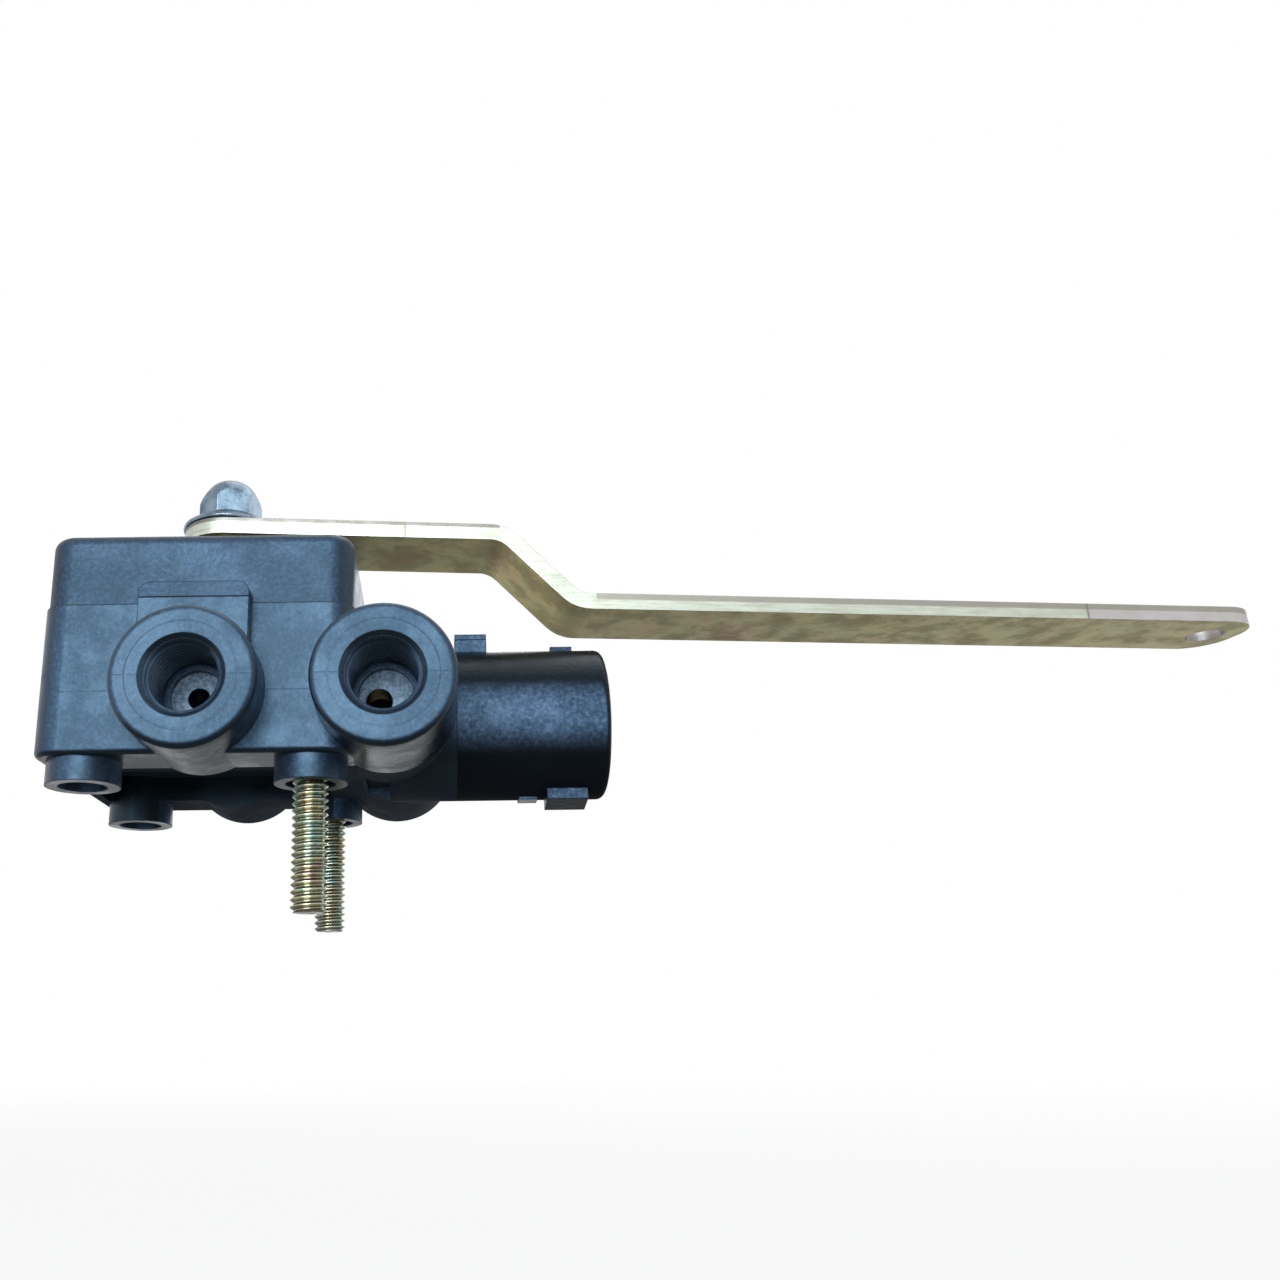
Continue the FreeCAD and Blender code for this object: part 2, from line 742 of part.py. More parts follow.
def spool():
    groove = "spool_bore_r - slide_gap - 2 * ring_wire_r"
    land = "spool_bore_r - slide_gap"
    points = [("-spool_left", "0"), ("-spool_left", land)]
    for middle in ("spool_ring_left", "spool_ring_mid", "spool_ring_right"):
        points += [
            (f"{middle} - ring_wire_r - ring_side", land),
            (f"{middle} - ring_wire_r - ring_side", groove),
            (f"{middle} + ring_wire_r + ring_side", groove),
            (f"{middle} + ring_wire_r + ring_side", land),
        ]
        if middle == "spool_ring_left":
            points += [
                ("spool_neck_start", land),
                ("spool_neck_start", "spool_neck_r"),
                ("spool_neck_end", "spool_neck_r"),
                ("spool_neck_end", land),
            ]
    points += [("spool_right", land), ("spool_right", "0")]
    body = turned("spool", "x", points, place=GALLERY)
    sketch = new_sketch(body, "crank_slot", "XZ_Plane")
    half = "crank_pin_r + pin_gap"
    add_box(sketch, f"-({half})", half, "spool_slot_low - port_z", "spool_bore_r + 1")
    pocket(body, sketch, "2 * spool_slot_half_y", both=True)
    return body


def coil_spring(label, start, end, middle_r, wire_r, turns):
    """Compression spring along the gallery, a round wire swept round a helix."""
    helix = doc.addObject("Part::Helix", label + "_path")
    helix.setExpression("Height", link(f"{end} - ({start}) - 2 * {wire_r} - 2 * seat_gap"))
    helix.setExpression("Pitch", link(f"({end} - ({start}) - 2 * {wire_r} - 2 * seat_gap) / {turns}"))
    helix.setExpression("Radius", link(middle_r))
    helix.SegmentLength = 1
    wire = doc.addObject("Part::Circle", label + "_wire")
    wire.setExpression("Radius", link(wire_r))
    wire.Placement = FreeCAD.Placement(FreeCAD.Vector(1, 0, 0), FreeCAD.Rotation(FreeCAD.Vector(1, 0, 0), 90))
    wire.setExpression("Placement.Base.x", link(middle_r))
    doc.recompute()
    sweep = doc.addObject("Part::Sweep", label)
    sweep.Sections = [wire]
    sweep.Spine = (helix, [])
    sweep.Solid = True
    sweep.Frenet = True
    sweep.Placement = FreeCAD.Placement(FreeCAD.Vector(), FreeCAD.Rotation(FreeCAD.Vector(0, 1, 0), 90))
    sweep.Label = label
    put(sweep, (f"{start} + {wire_r} + seat_gap", "0", "port_z"))
    return sweep


def check_valve():
    back = "check_seat_x - check_gap - check_disc_h"
    return [
        turned("check_seat", "x", tube("check_seat_x", "nose_start", "check_seat_bore", "chamber_r - seat_gap"),
               place=GALLERY),
        turned("check_valve", "x", [
            ("check_seat_x - check_gap", "0"),
            ("check_seat_x - check_gap", "check_disc_r"),
            (back, "check_disc_r"),
            (back, "check_stem_r"),
            (f"{back} - check_stem_len", "check_stem_r"),
            (f"{back} - check_stem_len", "0"),
        ], place=GALLERY),
        coil_spring("check_spring", "chamber_start", back, "check_spring_r", "check_wire_r", 4),
    ]


def solenoid():
    land = "nose_r - seat_gap"
    groove = "nose_r - seat_gap - 2 * ring_wire_r"
    seat = turned("solenoid_seat", "x", [
        ("nose_start", "check_seat_bore"),
        ("nose_start", land),
        ("seat_ring_x - ring_wire_r - ring_side", land),
        ("seat_ring_x - ring_wire_r - ring_side", groove),
        ("seat_ring_x + ring_wire_r + ring_side", groove),
        ("seat_ring_x + ring_wire_r + ring_side", land),
        ("seat_land_end", land),
        ("seat_land_end", "seat_neck_r"),
        ("seat_body_right", "seat_neck_r"),
        ("seat_body_right", "seat_nose_r"),
        ("seat_body_right + seat_nose_len", "seat_nose_r - seat_nose_edge"),
        ("seat_body_right + seat_nose_len", "seat_orifice_r"),
        ("seat_bore_end", "seat_orifice_r"),
        ("seat_bore_end", "check_seat_bore"),
    ], place=GALLERY)
    guide = turned("guide_tube", "x", [
        ("spigot_start", "tube_in_r"),
        ("tube_end", "tube_in_r"),
        ("tube_end", "tube_out_r"),
        ("spigot_start + tube_flange_h", "tube_out_r"),
        ("spigot_start + tube_flange_h", f"{SPIGOT_R} - tube_flange_step"),
        ("spigot_start", f"{SPIGOT_R} - tube_flange_step"),
    ], place=GALLERY)
    core = turned("pole_core", "x", [
        ("core_start", "0"),
        ("core_start", "tube_in_r - seat_gap"),
        ("tube_end", "tube_in_r - seat_gap"),
        ("tube_end", "0"),
    ], place=GALLERY)
    armature = turned("armature", "x", [
        ("armature_start - tip_out + tip_h + seat_gap", "0"),
        ("armature_start - tip_out + tip_h + seat_gap", "tip_r + seat_gap"),
        ("armature_start", "tip_r + seat_gap"),
        ("armature_start", "armature_r"),
        ("core_start - armature_gap", "armature_r"),
        ("core_start - armature_gap", "spring_pocket_r"),
        ("core_start - armature_gap - spring_pocket_depth", "spring_pocket_r"),
        ("core_start - armature_gap - spring_pocket_depth", "0"),
    ], place=GALLERY)
    tip = turned("armature_tip", "x", [
        ("armature_start - tip_out", "0"),
        ("armature_start - tip_out", "tip_r"),
        ("armature_start - tip_out + tip_h", "tip_r"),
        ("armature_start - tip_out + tip_h", "0"),
    ], place=GALLERY)
    spring = coil_spring("armature_spring", "core_start - armature_gap - spring_pocket_depth", "core_start",
                         "armature_spring_r", "armature_wire_r", 6)
    bobbin_in = "tube_out_r + run_gap"
    bobbin = turned("coil_bobbin", "x", [
        ("bobbin_start", bobbin_in),
        ("bobbin_start", BOBBIN_R),
        ("bobbin_start + bobbin_flange", BOBBIN_R),
        ("bobbin_start + bobbin_flange", "bobbin_tube_r"),
        ("tube_end - bobbin_flange", "bobbin_tube_r"),
        ("tube_end - bobbin_flange", BOBBIN_R),
        ("tube_end", BOBBIN_R),
        ("tube_end", bobbin_in),
    ], place=GALLERY)
    winding = turned("coil_winding", "x", tube(
        "bobbin_start + bobbin_flange + seat_gap", "tube_end - bobbin_flange - seat_gap",
        "bobbin_tube_r + seat_gap", f"{BOBBIN_R} - winding_step"), place=GALLERY)
    yoke = turned("yoke_can", "x", [
        ("yoke_start", "tube_out_r + run_gap"),
        ("yoke_start", YOKE_R),
        ("web_start - run_gap", YOKE_R),
        ("web_start - run_gap", f"{YOKE_R} - yoke_wall"),
        ("yoke_start + yoke_wall", f"{YOKE_R} - yoke_wall"),
        ("yoke_start + yoke_wall", "tube_out_r + run_gap"),
    ], place=GALLERY)
    return [seat, guide, core, armature, tip, spring, bobbin, winding, yoke]


def connector_housing():
    spigot = f"{SPIGOT_R} - run_gap"
    groove = f"{spigot} - 2 * ring_wire_r"
    spigot_inside = f"{SPIGOT_R} - spigot_wall"
    socket = "shell_r - socket_wall"
    body = turned("connector_housing", "x", [
        ("spigot_start + tube_flange_h + seat_gap", spigot_inside),
        ("spigot_bore_end", spigot_inside),
        ("spigot_bore_end", "tube_out_r + run_gap"),
        ("yoke_start - run_gap", "tube_out_r + run_gap"),
        ("yoke_start - run_gap", f"{YOKE_R} + run_gap"),
        ("web_start", f"{YOKE_R} + run_gap"),
        ("web_start", "0"),
        ("socket_boss_end", "0"),
        ("socket_boss_end", "socket_boss_r"),
        ("web_end", "socket_boss_r"),
        ("web_end", socket),
        ("shell_end", socket),
        ("shell_end", "shell_r"),
        ("shell_start", "shell_r"),
        ("shell_start", spigot),
        ("spigot_ring_x + ring_wire_r + ring_side", spigot),
        ("spigot_ring_x + ring_wire_r + ring_side", groove),
        ("spigot_ring_x - ring_wire_r - ring_side", groove),
        ("spigot_ring_x - ring_wire_r - ring_side", spigot),
        ("spigot_start + tube_flange_h + seat_gap", spigot),
    ])
    outer = value("shell_r")
    end = value("shell_end")
    dress(body, "Fillet", lambda edge: is_round(edge, outer) and near(edge.Curve.Center.x, end), "shell_edge")

    # index key on top, beside the barrel joint
    sketch = new_sketch(body, "index_key", "YZ_Plane", "shell_start")
    add_box(sketch, "-key_half_y", "key_half_y", "shell_r - 3", "shell_r + key_rise")
    pad(body, sketch, "key_end - shell_start")

    # bayonet lugs across from each other, the top one smaller, and a small index mark
    for name, side, gap, length, out in (("top_lug", "1", "top_lug_from_end", "top_lug_length", "top_lug_out"),
                                         ("low_lug", "-1", "lug_from_end", "lug_length", "lug_out")):
        sketch = new_sketch(body, name, "YZ_Plane", f"shell_end - {gap} - {length}")
        corners = []
        for radial, across in (("shell_r - 1", "-lug_half"), (f"shell_r + {out}", "-lug_half"),
                               (f"shell_r + {out}", "lug_half"), ("shell_r - 1", "lug_half")):
            corners.append((f"{side} * (({radial}) * sin(lug_turn) + ({across}) * cos(lug_turn))",
                            f"{side} * (({radial}) * cos(lug_turn) - ({across}) * sin(lug_turn))"))
        add_polygon(sketch, corners)
        pad(body, sketch, length)
    sketch = new_sketch(body, "index_mark", "YZ_Plane", "mark_start")
    add_box(sketch, "-mark_half", "mark_half", "-shell_r - mark_out", "-shell_r + 1")
    pad(body, sketch, "mark_end - mark_start")

    # holes for the two contacts
    sketch = new_sketch(body, "contact_holes", "YZ_Plane", "web_start")
    for deep in ("-contact_half_y", "contact_half_y"):
        add_circle(sketch, deep, "0", "contact_r + seat_gap")
    pocket(body, sketch, "socket_boss_end - web_start + 0.001", back=True)
    put(body, GALLERY)
    return body


def contact(label, deep):
    return turned(label, "x", [
        ("web_start", "0"),
        ("web_start", "contact_r"),
        ("contact_end - contact_point", "contact_r"),
        ("contact_end", "contact_r - contact_tip_step"),
        ("contact_end", "0"),
    ], place=("0", deep, "port_z"))


def seals():
    wire = "ring_wire_r - seat_gap"
    return [
        ring("cover_seal", "z", ["split_z - seal_groove_depth + seal_wire_r - seal_lift"], "seal_ring_r",
             "seal_wire_r - seal_thin"),
        ring("spool_rings", "x", ["spool_ring_left", "spool_ring_mid", "spool_ring_right"],
             "spool_bore_r - slide_gap - ring_wire_r + seat_gap / 2", wire, place=GALLERY),
        ring("seat_ring", "x", ["seat_ring_x"], "nose_r - seat_gap - ring_wire_r", wire, place=GALLERY),
        ring("spigot_ring", "x", ["spigot_ring_x"], f"{SPIGOT_R} - run_gap - ring_wire_r", wire, place=GALLERY),
        turned("lip_seal", "z", [
            ("lip_seal_low", "shaft_r + neck_gap"),
            ("lip_seal_low", "lip_seal_r"),
            ("lip_seal_low + lip_seal_h", "lip_seal_r"),
            ("lip_seal_low + lip_seal_h", "shaft_r + seat_gap"),
            ("lip_seal_low + lip_seal_h - lip_face", "shaft_r + seat_gap"),
        ]),
    ]


def bearings():
    return [
        turned("shaft_bush", "z", [
            ("cover_well_top - bush_flange_h", "shaft_r + run_gap"),
            ("cover_well_top - bush_flange_h", "bush_flange_r"),
            ("cover_well_top", "bush_flange_r"),
            ("cover_well_top", "bush_r"),
            ("bush_top", "bush_r"),
            ("bush_top", "shaft_r + run_gap"),
        ]),
        turned("thrust_washer", "z", tube("well_floor", "well_floor + thrust_washer_h",
                                          "pin_clear_r + washer_gap", "well_r - washer_step")),
    ]


parts = [housing(), cover()]
parts += cover_screws()
parts += [control_shaft(), lever(), flange_nut()]
parts += [stud("stud_front", "-leg_half"), stud("stud_rear", "leg_half"), spool()]
parts += check_valve()
parts += solenoid()
parts += [connector_housing(), contact("contact_front", "-contact_half_y"), contact("contact_rear", "contact_half_y")]
parts += seals()
parts += bearings()
doc.recompute()

for item in doc.Objects:
    if "Invalid" in item.State or "Error" in item.State:
        raise RuntimeError(f"{item.Label} did not rebuild")
for item in parts:
    shape = item.Shape
    if shape.isNull() or not shape.isValid() or not shape.Solids:
        raise RuntimeError(f"{item.Label} is not a good solid")
for item in parts:
    item.Shape.exportStep(f"parts/{item.Label}.step")
    box = item.Shape.BoundBox
    print(f"{item.Label:18s} {item.Shape.Volume:10.1f} mm3  solids {len(item.Shape.Solids)}"
          f"  x {box.XMin:.1f}..{box.XMax:.1f}  y {box.YMin:.1f}..{box.YMax:.1f}  z {box.ZMin:.1f}..{box.ZMax:.1f}")
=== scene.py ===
from math import cos, pi, radians, sin

import bpy
from mathutils import Matrix, Vector


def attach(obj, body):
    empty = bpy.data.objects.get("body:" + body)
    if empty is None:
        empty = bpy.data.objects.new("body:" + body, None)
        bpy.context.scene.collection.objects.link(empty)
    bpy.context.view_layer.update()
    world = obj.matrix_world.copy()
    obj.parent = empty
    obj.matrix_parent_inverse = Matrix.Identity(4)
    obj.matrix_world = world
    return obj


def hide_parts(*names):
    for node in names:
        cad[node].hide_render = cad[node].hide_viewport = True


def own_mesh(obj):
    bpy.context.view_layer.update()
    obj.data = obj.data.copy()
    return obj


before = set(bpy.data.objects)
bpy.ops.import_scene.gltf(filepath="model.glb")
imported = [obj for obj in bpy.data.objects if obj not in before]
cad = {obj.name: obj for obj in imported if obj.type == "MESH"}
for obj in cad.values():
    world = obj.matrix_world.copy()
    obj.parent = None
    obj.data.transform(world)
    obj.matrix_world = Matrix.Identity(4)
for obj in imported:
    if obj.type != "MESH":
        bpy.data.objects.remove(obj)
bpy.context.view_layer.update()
mm = 0.001
print("frame loaded:", len(cad), "solids")


def deselectAll():
    if bpy.context.mode != "OBJECT":
        bpy.ops.object.mode_set(mode="OBJECT")
    bpy.ops.object.select_all(action="DESELECT")


def activate(piece):
    deselectAll()
    piece.select_set(True)
    bpy.context.view_layer.objects.active = piece


def newest(name):
    piece = bpy.context.object
    piece.name = name
    piece.data.name = name
    return piece


def applyPlace(piece):
    activate(piece)
    bpy.ops.object.transform_apply(location=True, rotation=True, scale=True)


def applyModifier(piece, kind, **values):
    activate(piece)
    change = piece.modifiers.new(kind.lower(), kind)
    for word, amount in values.items():
        setattr(change, word, amount)
    bpy.ops.object.modifier_apply(modifier=change.name)


def pick(piece, kind, test):
    # goes into edit mode with only the parts that the test likes selected; kind is VERT, EDGE or FACE
    activate(piece)
    bpy.ops.object.mode_set(mode="EDIT")
    bpy.ops.mesh.select_mode(type=kind)
    bpy.ops.mesh.select_all(action="DESELECT")
    bpy.ops.object.mode_set(mode="OBJECT")
    mesh = piece.data
    if kind == "VERT":
        for point in mesh.vertices:
            point.select = test(point.co)
    elif kind == "EDGE":
        for edge in mesh.edges:
            ends = [mesh.vertices[index].co for index in edge.vertices]
            edge.select = test(ends[0], ends[1])
    else:
        for face in mesh.polygons:
            face.select = test(face.center, face.normal)
    bpy.ops.object.mode_set(mode="EDIT")


def leaveEdit():
    bpy.ops.object.mode_set(mode="OBJECT")


def tidyMesh(piece, apart=0.000002):
    activate(piece)
    bpy.ops.object.mode_set(mode="EDIT")
    bpy.ops.mesh.select_all(action="SELECT")
    bpy.ops.mesh.remove_doubles(threshold=apart)
    bpy.ops.mesh.normals_make_consistent(inside=False)
    leaveEdit()


def closeEnds(piece):
    activate(piece)
    bpy.ops.object.mode_set(mode="EDIT")
    bpy.ops.mesh.select_all(action="SELECT")
    bpy.ops.mesh.fill_holes(sides=0)
    bpy.ops.mesh.normals_make_consistent(inside=False)
    leaveEdit()


def combine(piece, tool, how):
    applyModifier(piece, "BOOLEAN", operation=how, object=tool, solver="EXACT")
    bpy.data.objects.remove(tool)


def twin(piece, name):
    copied = piece.copy()
    copied.data = piece.data.copy()
    copied.name = name
    copied.data.name = name
    bpy.context.scene.collection.objects.link(copied)
    return copied


def place(piece, turn, spot):
    # turn is in degrees about X, Y and Z, spot in millimetres
    piece.rotation_euler = [radians(angle) for angle in turn]
    piece.location = [distance * mm for distance in spot]
    applyPlace(piece)


def smooth(piece, angle=35):
    activate(piece)
    bpy.ops.object.shade_smooth_by_angle(angle=radians(angle))


def dress(piece, material, body, slot, *stoodFor):
    piece.data.materials.clear()
    piece.data.materials.append(material)
    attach(piece, body)
    if stoodFor:
        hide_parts(*stoodFor)


def addNode(tree, kind, spot, **values):
    node = tree.nodes.new(kind)
    node.location = spot
    for word, amount in values.items():
        if word.startswith("in_"):
            node.inputs[int(word[3:])].default_value = amount
        else:
            setattr(node, word, amount)
    return node


def plug(tree, source, target):
    tree.links.new(source, target)


def ramp(tree, spot, factor, stops):
    node = addNode(tree, "ShaderNodeValToRGB", spot)
    bar = node.color_ramp
    while len(bar.elements) < len(stops):
        bar.elements.new(0.5)
    for element, (at, colour) in zip(bar.elements, stops):
        element.position = at
        element.color = (*colour, 1)
    plug(tree, factor, node.inputs["Fac"])
    return node.outputs["Color"]


def maths(tree, spot, operation, first, second=None, clamp=False):
    node = addNode(tree, "ShaderNodeMath", spot, operation=operation, use_clamp=clamp)
    for index, term in enumerate((first, second)):
        if term is None:
            continue
        if isinstance(term, (int, float)):
            node.inputs[index].default_value = term
        else:
            plug(tree, term, node.inputs[index])
    return node.outputs[0]


def spread(tree, spot, source, low, high, outLow=0.0, outHigh=1.0):
    node = addNode(tree, "ShaderNodeMapRange", spot, interpolation_type="SMOOTHSTEP")
    for index, number in ((1, low), (2, high), (3, outLow), (4, outHigh)):
        node.inputs[index].default_value = number
    plug(tree, source, node.inputs[0])
    return node.outputs[0]


def gap(tree, spot, value, centre):
    # how far a value lies from a centre, to either side
    return maths(tree, spot, "ABSOLUTE", maths(tree, (spot[0] - 100, spot[1]), "SUBTRACT", value, centre))


def distance(tree, spot, first, second):
    squares = [maths(tree, (spot[0] - 200, spot[1] + 50 - 100 * index), "MULTIPLY", term, term)
               for index, term in enumerate((first, second))]
    return maths(tree, spot, "SQRT", maths(tree, (spot[0] - 100, spot[1]), "ADD", *squares))


def mixColour(tree, spot, factor, first, second):
    node = addNode(tree, "ShaderNodeMix", spot, data_type="RGBA")
    for socket, term in ((node.inputs[0], factor), (node.inputs[6], first), (node.inputs[7], second)):
        if isinstance(term, (int, float)):
            socket.default_value = term
        elif isinstance(term, tuple):
            socket.default_value = (*term, 1)
        else:
            plug(tree, term, socket)
    return node.outputs[2]


def paler(colour, times):
    return tuple(times * part for part in colour)


def objectPoint(tree, spot, scale=(1, 1, 1), turn=(0, 0, 0)):
    coordinate = addNode(tree, "ShaderNodeTexCoord", (spot[0] - 200, spot[1]))
    mapping = addNode(tree, "ShaderNodeMapping", spot)
    mapping.inputs["Rotation"].default_value = [radians(angle) for angle in turn]
    mapping.inputs["Scale"].default_value = scale
    plug(tree, coordinate.outputs["Object"], mapping.inputs["Vector"])
    return mapping.outputs["Vector"]


def objectParts(tree, spot):
    coordinate = addNode(tree, "ShaderNodeTexCoord", (spot[0] - 200, spot[1]))
    parts = addNode(tree, "ShaderNodeSeparateXYZ", spot)
    plug(tree, coordinate.outputs["Object"], parts.inputs[0])
    return parts.outputs


def newGroup(name, inputs, outputs):
    group = bpy.data.node_groups.new(name, "ShaderNodeTree")
    for word, kind, start in inputs:
        socket = group.interface.new_socket(name=word, in_out="INPUT", socket_type=kind)
        if start is not None:
            socket.default_value = start
    for word, kind in outputs:
        group.interface.new_socket(name=word, in_out="OUTPUT", socket_type=kind)
    entry = group.nodes.new("NodeGroupInput")
    entry.location = (-900, 0)
    leave = group.nodes.new("NodeGroupOutput")
    leave.location = (700, 0)
    return group, entry, leave


def useGroup(tree, group, spot, **values):
    node = addNode(tree, "ShaderNodeGroup", spot, node_tree=group)
    for word, amount in values.items():
        socket = node.inputs[word]
        if isinstance(amount, (int, float)):
            socket.default_value = amount
        else:
            plug(tree, amount, socket)
    return node


def makeSoftEdge():
    # rounded normals near edges, and a mask that is 1 where two faces meet
    group, entry, leave = newGroup(
        "softEdge",
        [("Radius", "NodeSocketFloat", 0.0003), ("Width", "NodeSocketFloat", 1.0)],
        [("Normal", "NodeSocketVector"), ("Edge", "NodeSocketFloat")])
    bevel = addNode(group, "ShaderNodeBevel", (-500, 100), samples=6)
    plug(group, entry.outputs["Radius"], bevel.inputs["Radius"])
    wide = addNode(group, "ShaderNodeBevel", (-500, -150), samples=6)
    plug(group, maths(group, (-700, -150), "MULTIPLY", entry.outputs["Radius"], entry.outputs["Width"]),
         wide.inputs["Radius"])
    flat = addNode(group, "ShaderNodeNewGeometry", (-500, -350))
    both = addNode(group, "ShaderNodeVectorMath", (-250, -200), operation="DOT_PRODUCT")
    plug(group, wide.outputs["Normal"], both.inputs[0])
    plug(group, flat.outputs["Normal"], both.inputs[1])
    mask = spread(group, (0, -200), both.outputs["Value"], 0.80, 0.995, 1.0, 0.0)
    plug(group, bevel.outputs["Normal"], leave.inputs["Normal"])
    plug(group, mask, leave.inputs["Edge"])
    return group


def makeGrain():
    # fine moulded or blasted grain: a height for bumps and a slow blotch mask
    group, entry, leave = newGroup(
        "grain",
        [("Point", "NodeSocketVector", None), ("Scale", "NodeSocketFloat", 3000.0),
         ("Blotch Scale", "NodeSocketFloat", 90.0)],
        [("Height", "NodeSocketFloat"), ("Blotch", "NodeSocketFloat"), ("Speck", "NodeSocketFloat"),
         ("Grit", "NodeSocketFloat")])
    fine = addNode(group, "ShaderNodeTexNoise", (-500, 200), in_3=3.0, in_4=0.6)
    plug(group, entry.outputs["Point"], fine.inputs["Vector"])
    plug(group, entry.outputs["Scale"], fine.inputs["Scale"])
    cells = addNode(group, "ShaderNodeTexVoronoi", (-500, -50))
    plug(group, entry.outputs["Point"], cells.inputs["Vector"])
    plug(group, maths(group, (-700, -50), "MULTIPLY", entry.outputs["Scale"], 0.55), cells.inputs["Scale"])
    slow = addNode(group, "ShaderNodeTexNoise", (-500, -350), in_3=4.0, in_4=0.65)
    plug(group, entry.outputs["Point"], slow.inputs["Vector"])
    plug(group, entry.outputs["Blotch Scale"], slow.inputs["Scale"])
    height = maths(group, (-200, 150), "ADD", fine.outputs["Fac"],
                   maths(group, (-350, 0), "MULTIPLY", cells.outputs["Distance"], 0.35))
    plug(group, height, leave.inputs["Height"])
    plug(group, spread(group, (-200, -350), slow.outputs["Fac"], 0.35, 0.68), leave.inputs["Blotch"])
    plug(group, spread(group, (-200, -100), fine.outputs["Fac"], 0.56, 0.72), leave.inputs["Speck"])
    plug(group, spread(group, (-200, 300), fine.outputs["Fac"], 0.34, 0.66), leave.inputs["Grit"])
    return group


def makeScuffs():
    # thin random scratches as a mask
    group, entry, leave = newGroup(
        "scuffs",
        [("Point", "NodeSocketVector", None), ("Scale", "NodeSocketFloat", 120.0),
         ("Width", "NodeSocketFloat", 0.02)],
        [("Mask", "NodeSocketFloat")])
    bend = addNode(group, "ShaderNodeTexNoise", (-700, 150), in_2=40.0, in_3=2.0)
    plug(group, entry.outputs["Point"], bend.inputs["Vector"])
    pushed = addNode(group, "ShaderNodeVectorMath", (-450, 100), operation="MULTIPLY_ADD")
    plug(group, bend.outputs["Color"], pushed.inputs[0])
    pushed.inputs[1].default_value = (0.004, 0.004, 0.004)
    plug(group, entry.outputs["Point"], pushed.inputs[2])
    cracks = addNode(group, "ShaderNodeTexVoronoi", (-250, 100), feature="DISTANCE_TO_EDGE")
    plug(group, pushed.outputs[0], cracks.inputs["Vector"])
    plug(group, entry.outputs["Scale"], cracks.inputs["Scale"])
    patches = addNode(group, "ShaderNodeTexNoise", (-250, -200), in_3=2.0)
    plug(group, entry.outputs["Point"], patches.inputs["Vector"])
    plug(group, maths(group, (-450, -200), "MULTIPLY", entry.outputs["Scale"], 0.8), patches.inputs["Scale"])
    line = maths(group, (0, 100), "LESS_THAN", cracks.outputs["Distance"], entry.outputs["Width"])
    kept = maths(group, (200, 0), "MULTIPLY", line, spread(group, (0, -200), patches.outputs["Fac"], 0.52, 0.62))
    plug(group, kept, leave.inputs["Mask"])
    return group


def makeFanMarks():
    # short streaks spreading from the clip pad, where the melt entered the cover
    look = {"x": -0.020, "z": 0.0335, "near": 0.0045, "nearEnd": 0.0075, "farStart": 0.0075, "far": 0.0125,
            "perTurn": 9.0, "perMetre": 220.0}
    group, entry, leave = newGroup("fanMarks", [("Point", "NodeSocketVector", None)], [("Mask", "NodeSocketFloat")])
    parts = addNode(group, "ShaderNodeSeparateXYZ", (-800, 0))
    plug(group, entry.outputs["Point"], parts.inputs[0])
    across = maths(group, (-650, 100), "SUBTRACT", parts.outputs["X"], look["x"])
    up = maths(group, (-650, -100), "SUBTRACT", parts.outputs["Z"], look["z"])
    away = distance(group, (-300, -100), across, up)
    angle = maths(group, (-500, 200), "ARCTAN2", across, up)
    polar = addNode(group, "ShaderNodeCombineXYZ", (-200, 200))
    plug(group, maths(group, (-350, 250), "MULTIPLY", angle, look["perTurn"]), polar.inputs[0])
    plug(group, maths(group, (-200, 50), "MULTIPLY", away, look["perMetre"]), polar.inputs[1])
    streaks = addNode(group, "ShaderNodeTexNoise", (0, 200), in_2=1.6, in_3=3.0, in_8=0.8)
    plug(group, polar.outputs[0], streaks.inputs["Vector"])
    thin = spread(group, (200, 200), streaks.outputs["Fac"], 0.50, 0.66)
    ring = maths(group, (200, -100), "MULTIPLY", spread(group, (50, -50), away, look["near"], look["nearEnd"]),
                 spread(group, (50, -200), away, look["farStart"], look["far"], 1.0, 0.0))
    plug(group, maths(group, (400, 0), "MULTIPLY", thin, ring), leave.inputs["Mask"])
    return group


def makeFacing():
    # how far a face looks down, how squarely it lies along an axis, and how it faces front or rear
    group, entry, leave = newGroup("facing", [("Tilt", "NodeSocketFloat", 0.06)], [
        ("Upper", "NodeSocketFloat"), ("Flat", "NodeSocketFloat"), ("Front", "NodeSocketFloat")])
    shape = addNode(group, "ShaderNodeNewGeometry", (-800, 0))
    parts = addNode(group, "ShaderNodeSeparateXYZ", (-650, 0))
    plug(group, shape.outputs["Normal"], parts.inputs[0])
    sides = [maths(group, (-500, 150 - 150 * index), "ABSOLUTE", parts.outputs[index]) for index in range(3)]
    most = maths(group, (-200, 50), "MAXIMUM", maths(group, (-350, 100), "MAXIMUM", sides[0], sides[1]), sides[2])
    leaning = maths(group, (-200, -200), "ADD", sides[1],
                    maths(group, (-350, -200), "MULTIPLY", parts.outputs["Z"], entry.outputs["Tilt"]))
    plug(group, spread(group, (0, 200), parts.outputs["Z"], -0.62, -0.12), leave.inputs["Upper"])
    plug(group, spread(group, (0, 0), most, 0.84, 0.99), leave.inputs["Flat"])
    plug(group, spread(group, (0, -200), leaning, 0.86, 1.01), leave.inputs["Front"])
    return group


fanMarks = makeFanMarks()
facing = makeFacing()
softEdge = makeSoftEdge()
grain = makeGrain()
scuffs = makeScuffs()


def newMaterial(name):
    material = bpy.data.materials.new(name)
    material.use_nodes = True
    tree = material.node_tree
    shader = tree.nodes["Principled BSDF"]
    shader.location = (500, 0)
    tree.nodes["Material Output"].location = (800, 0)
    return material, tree, shader


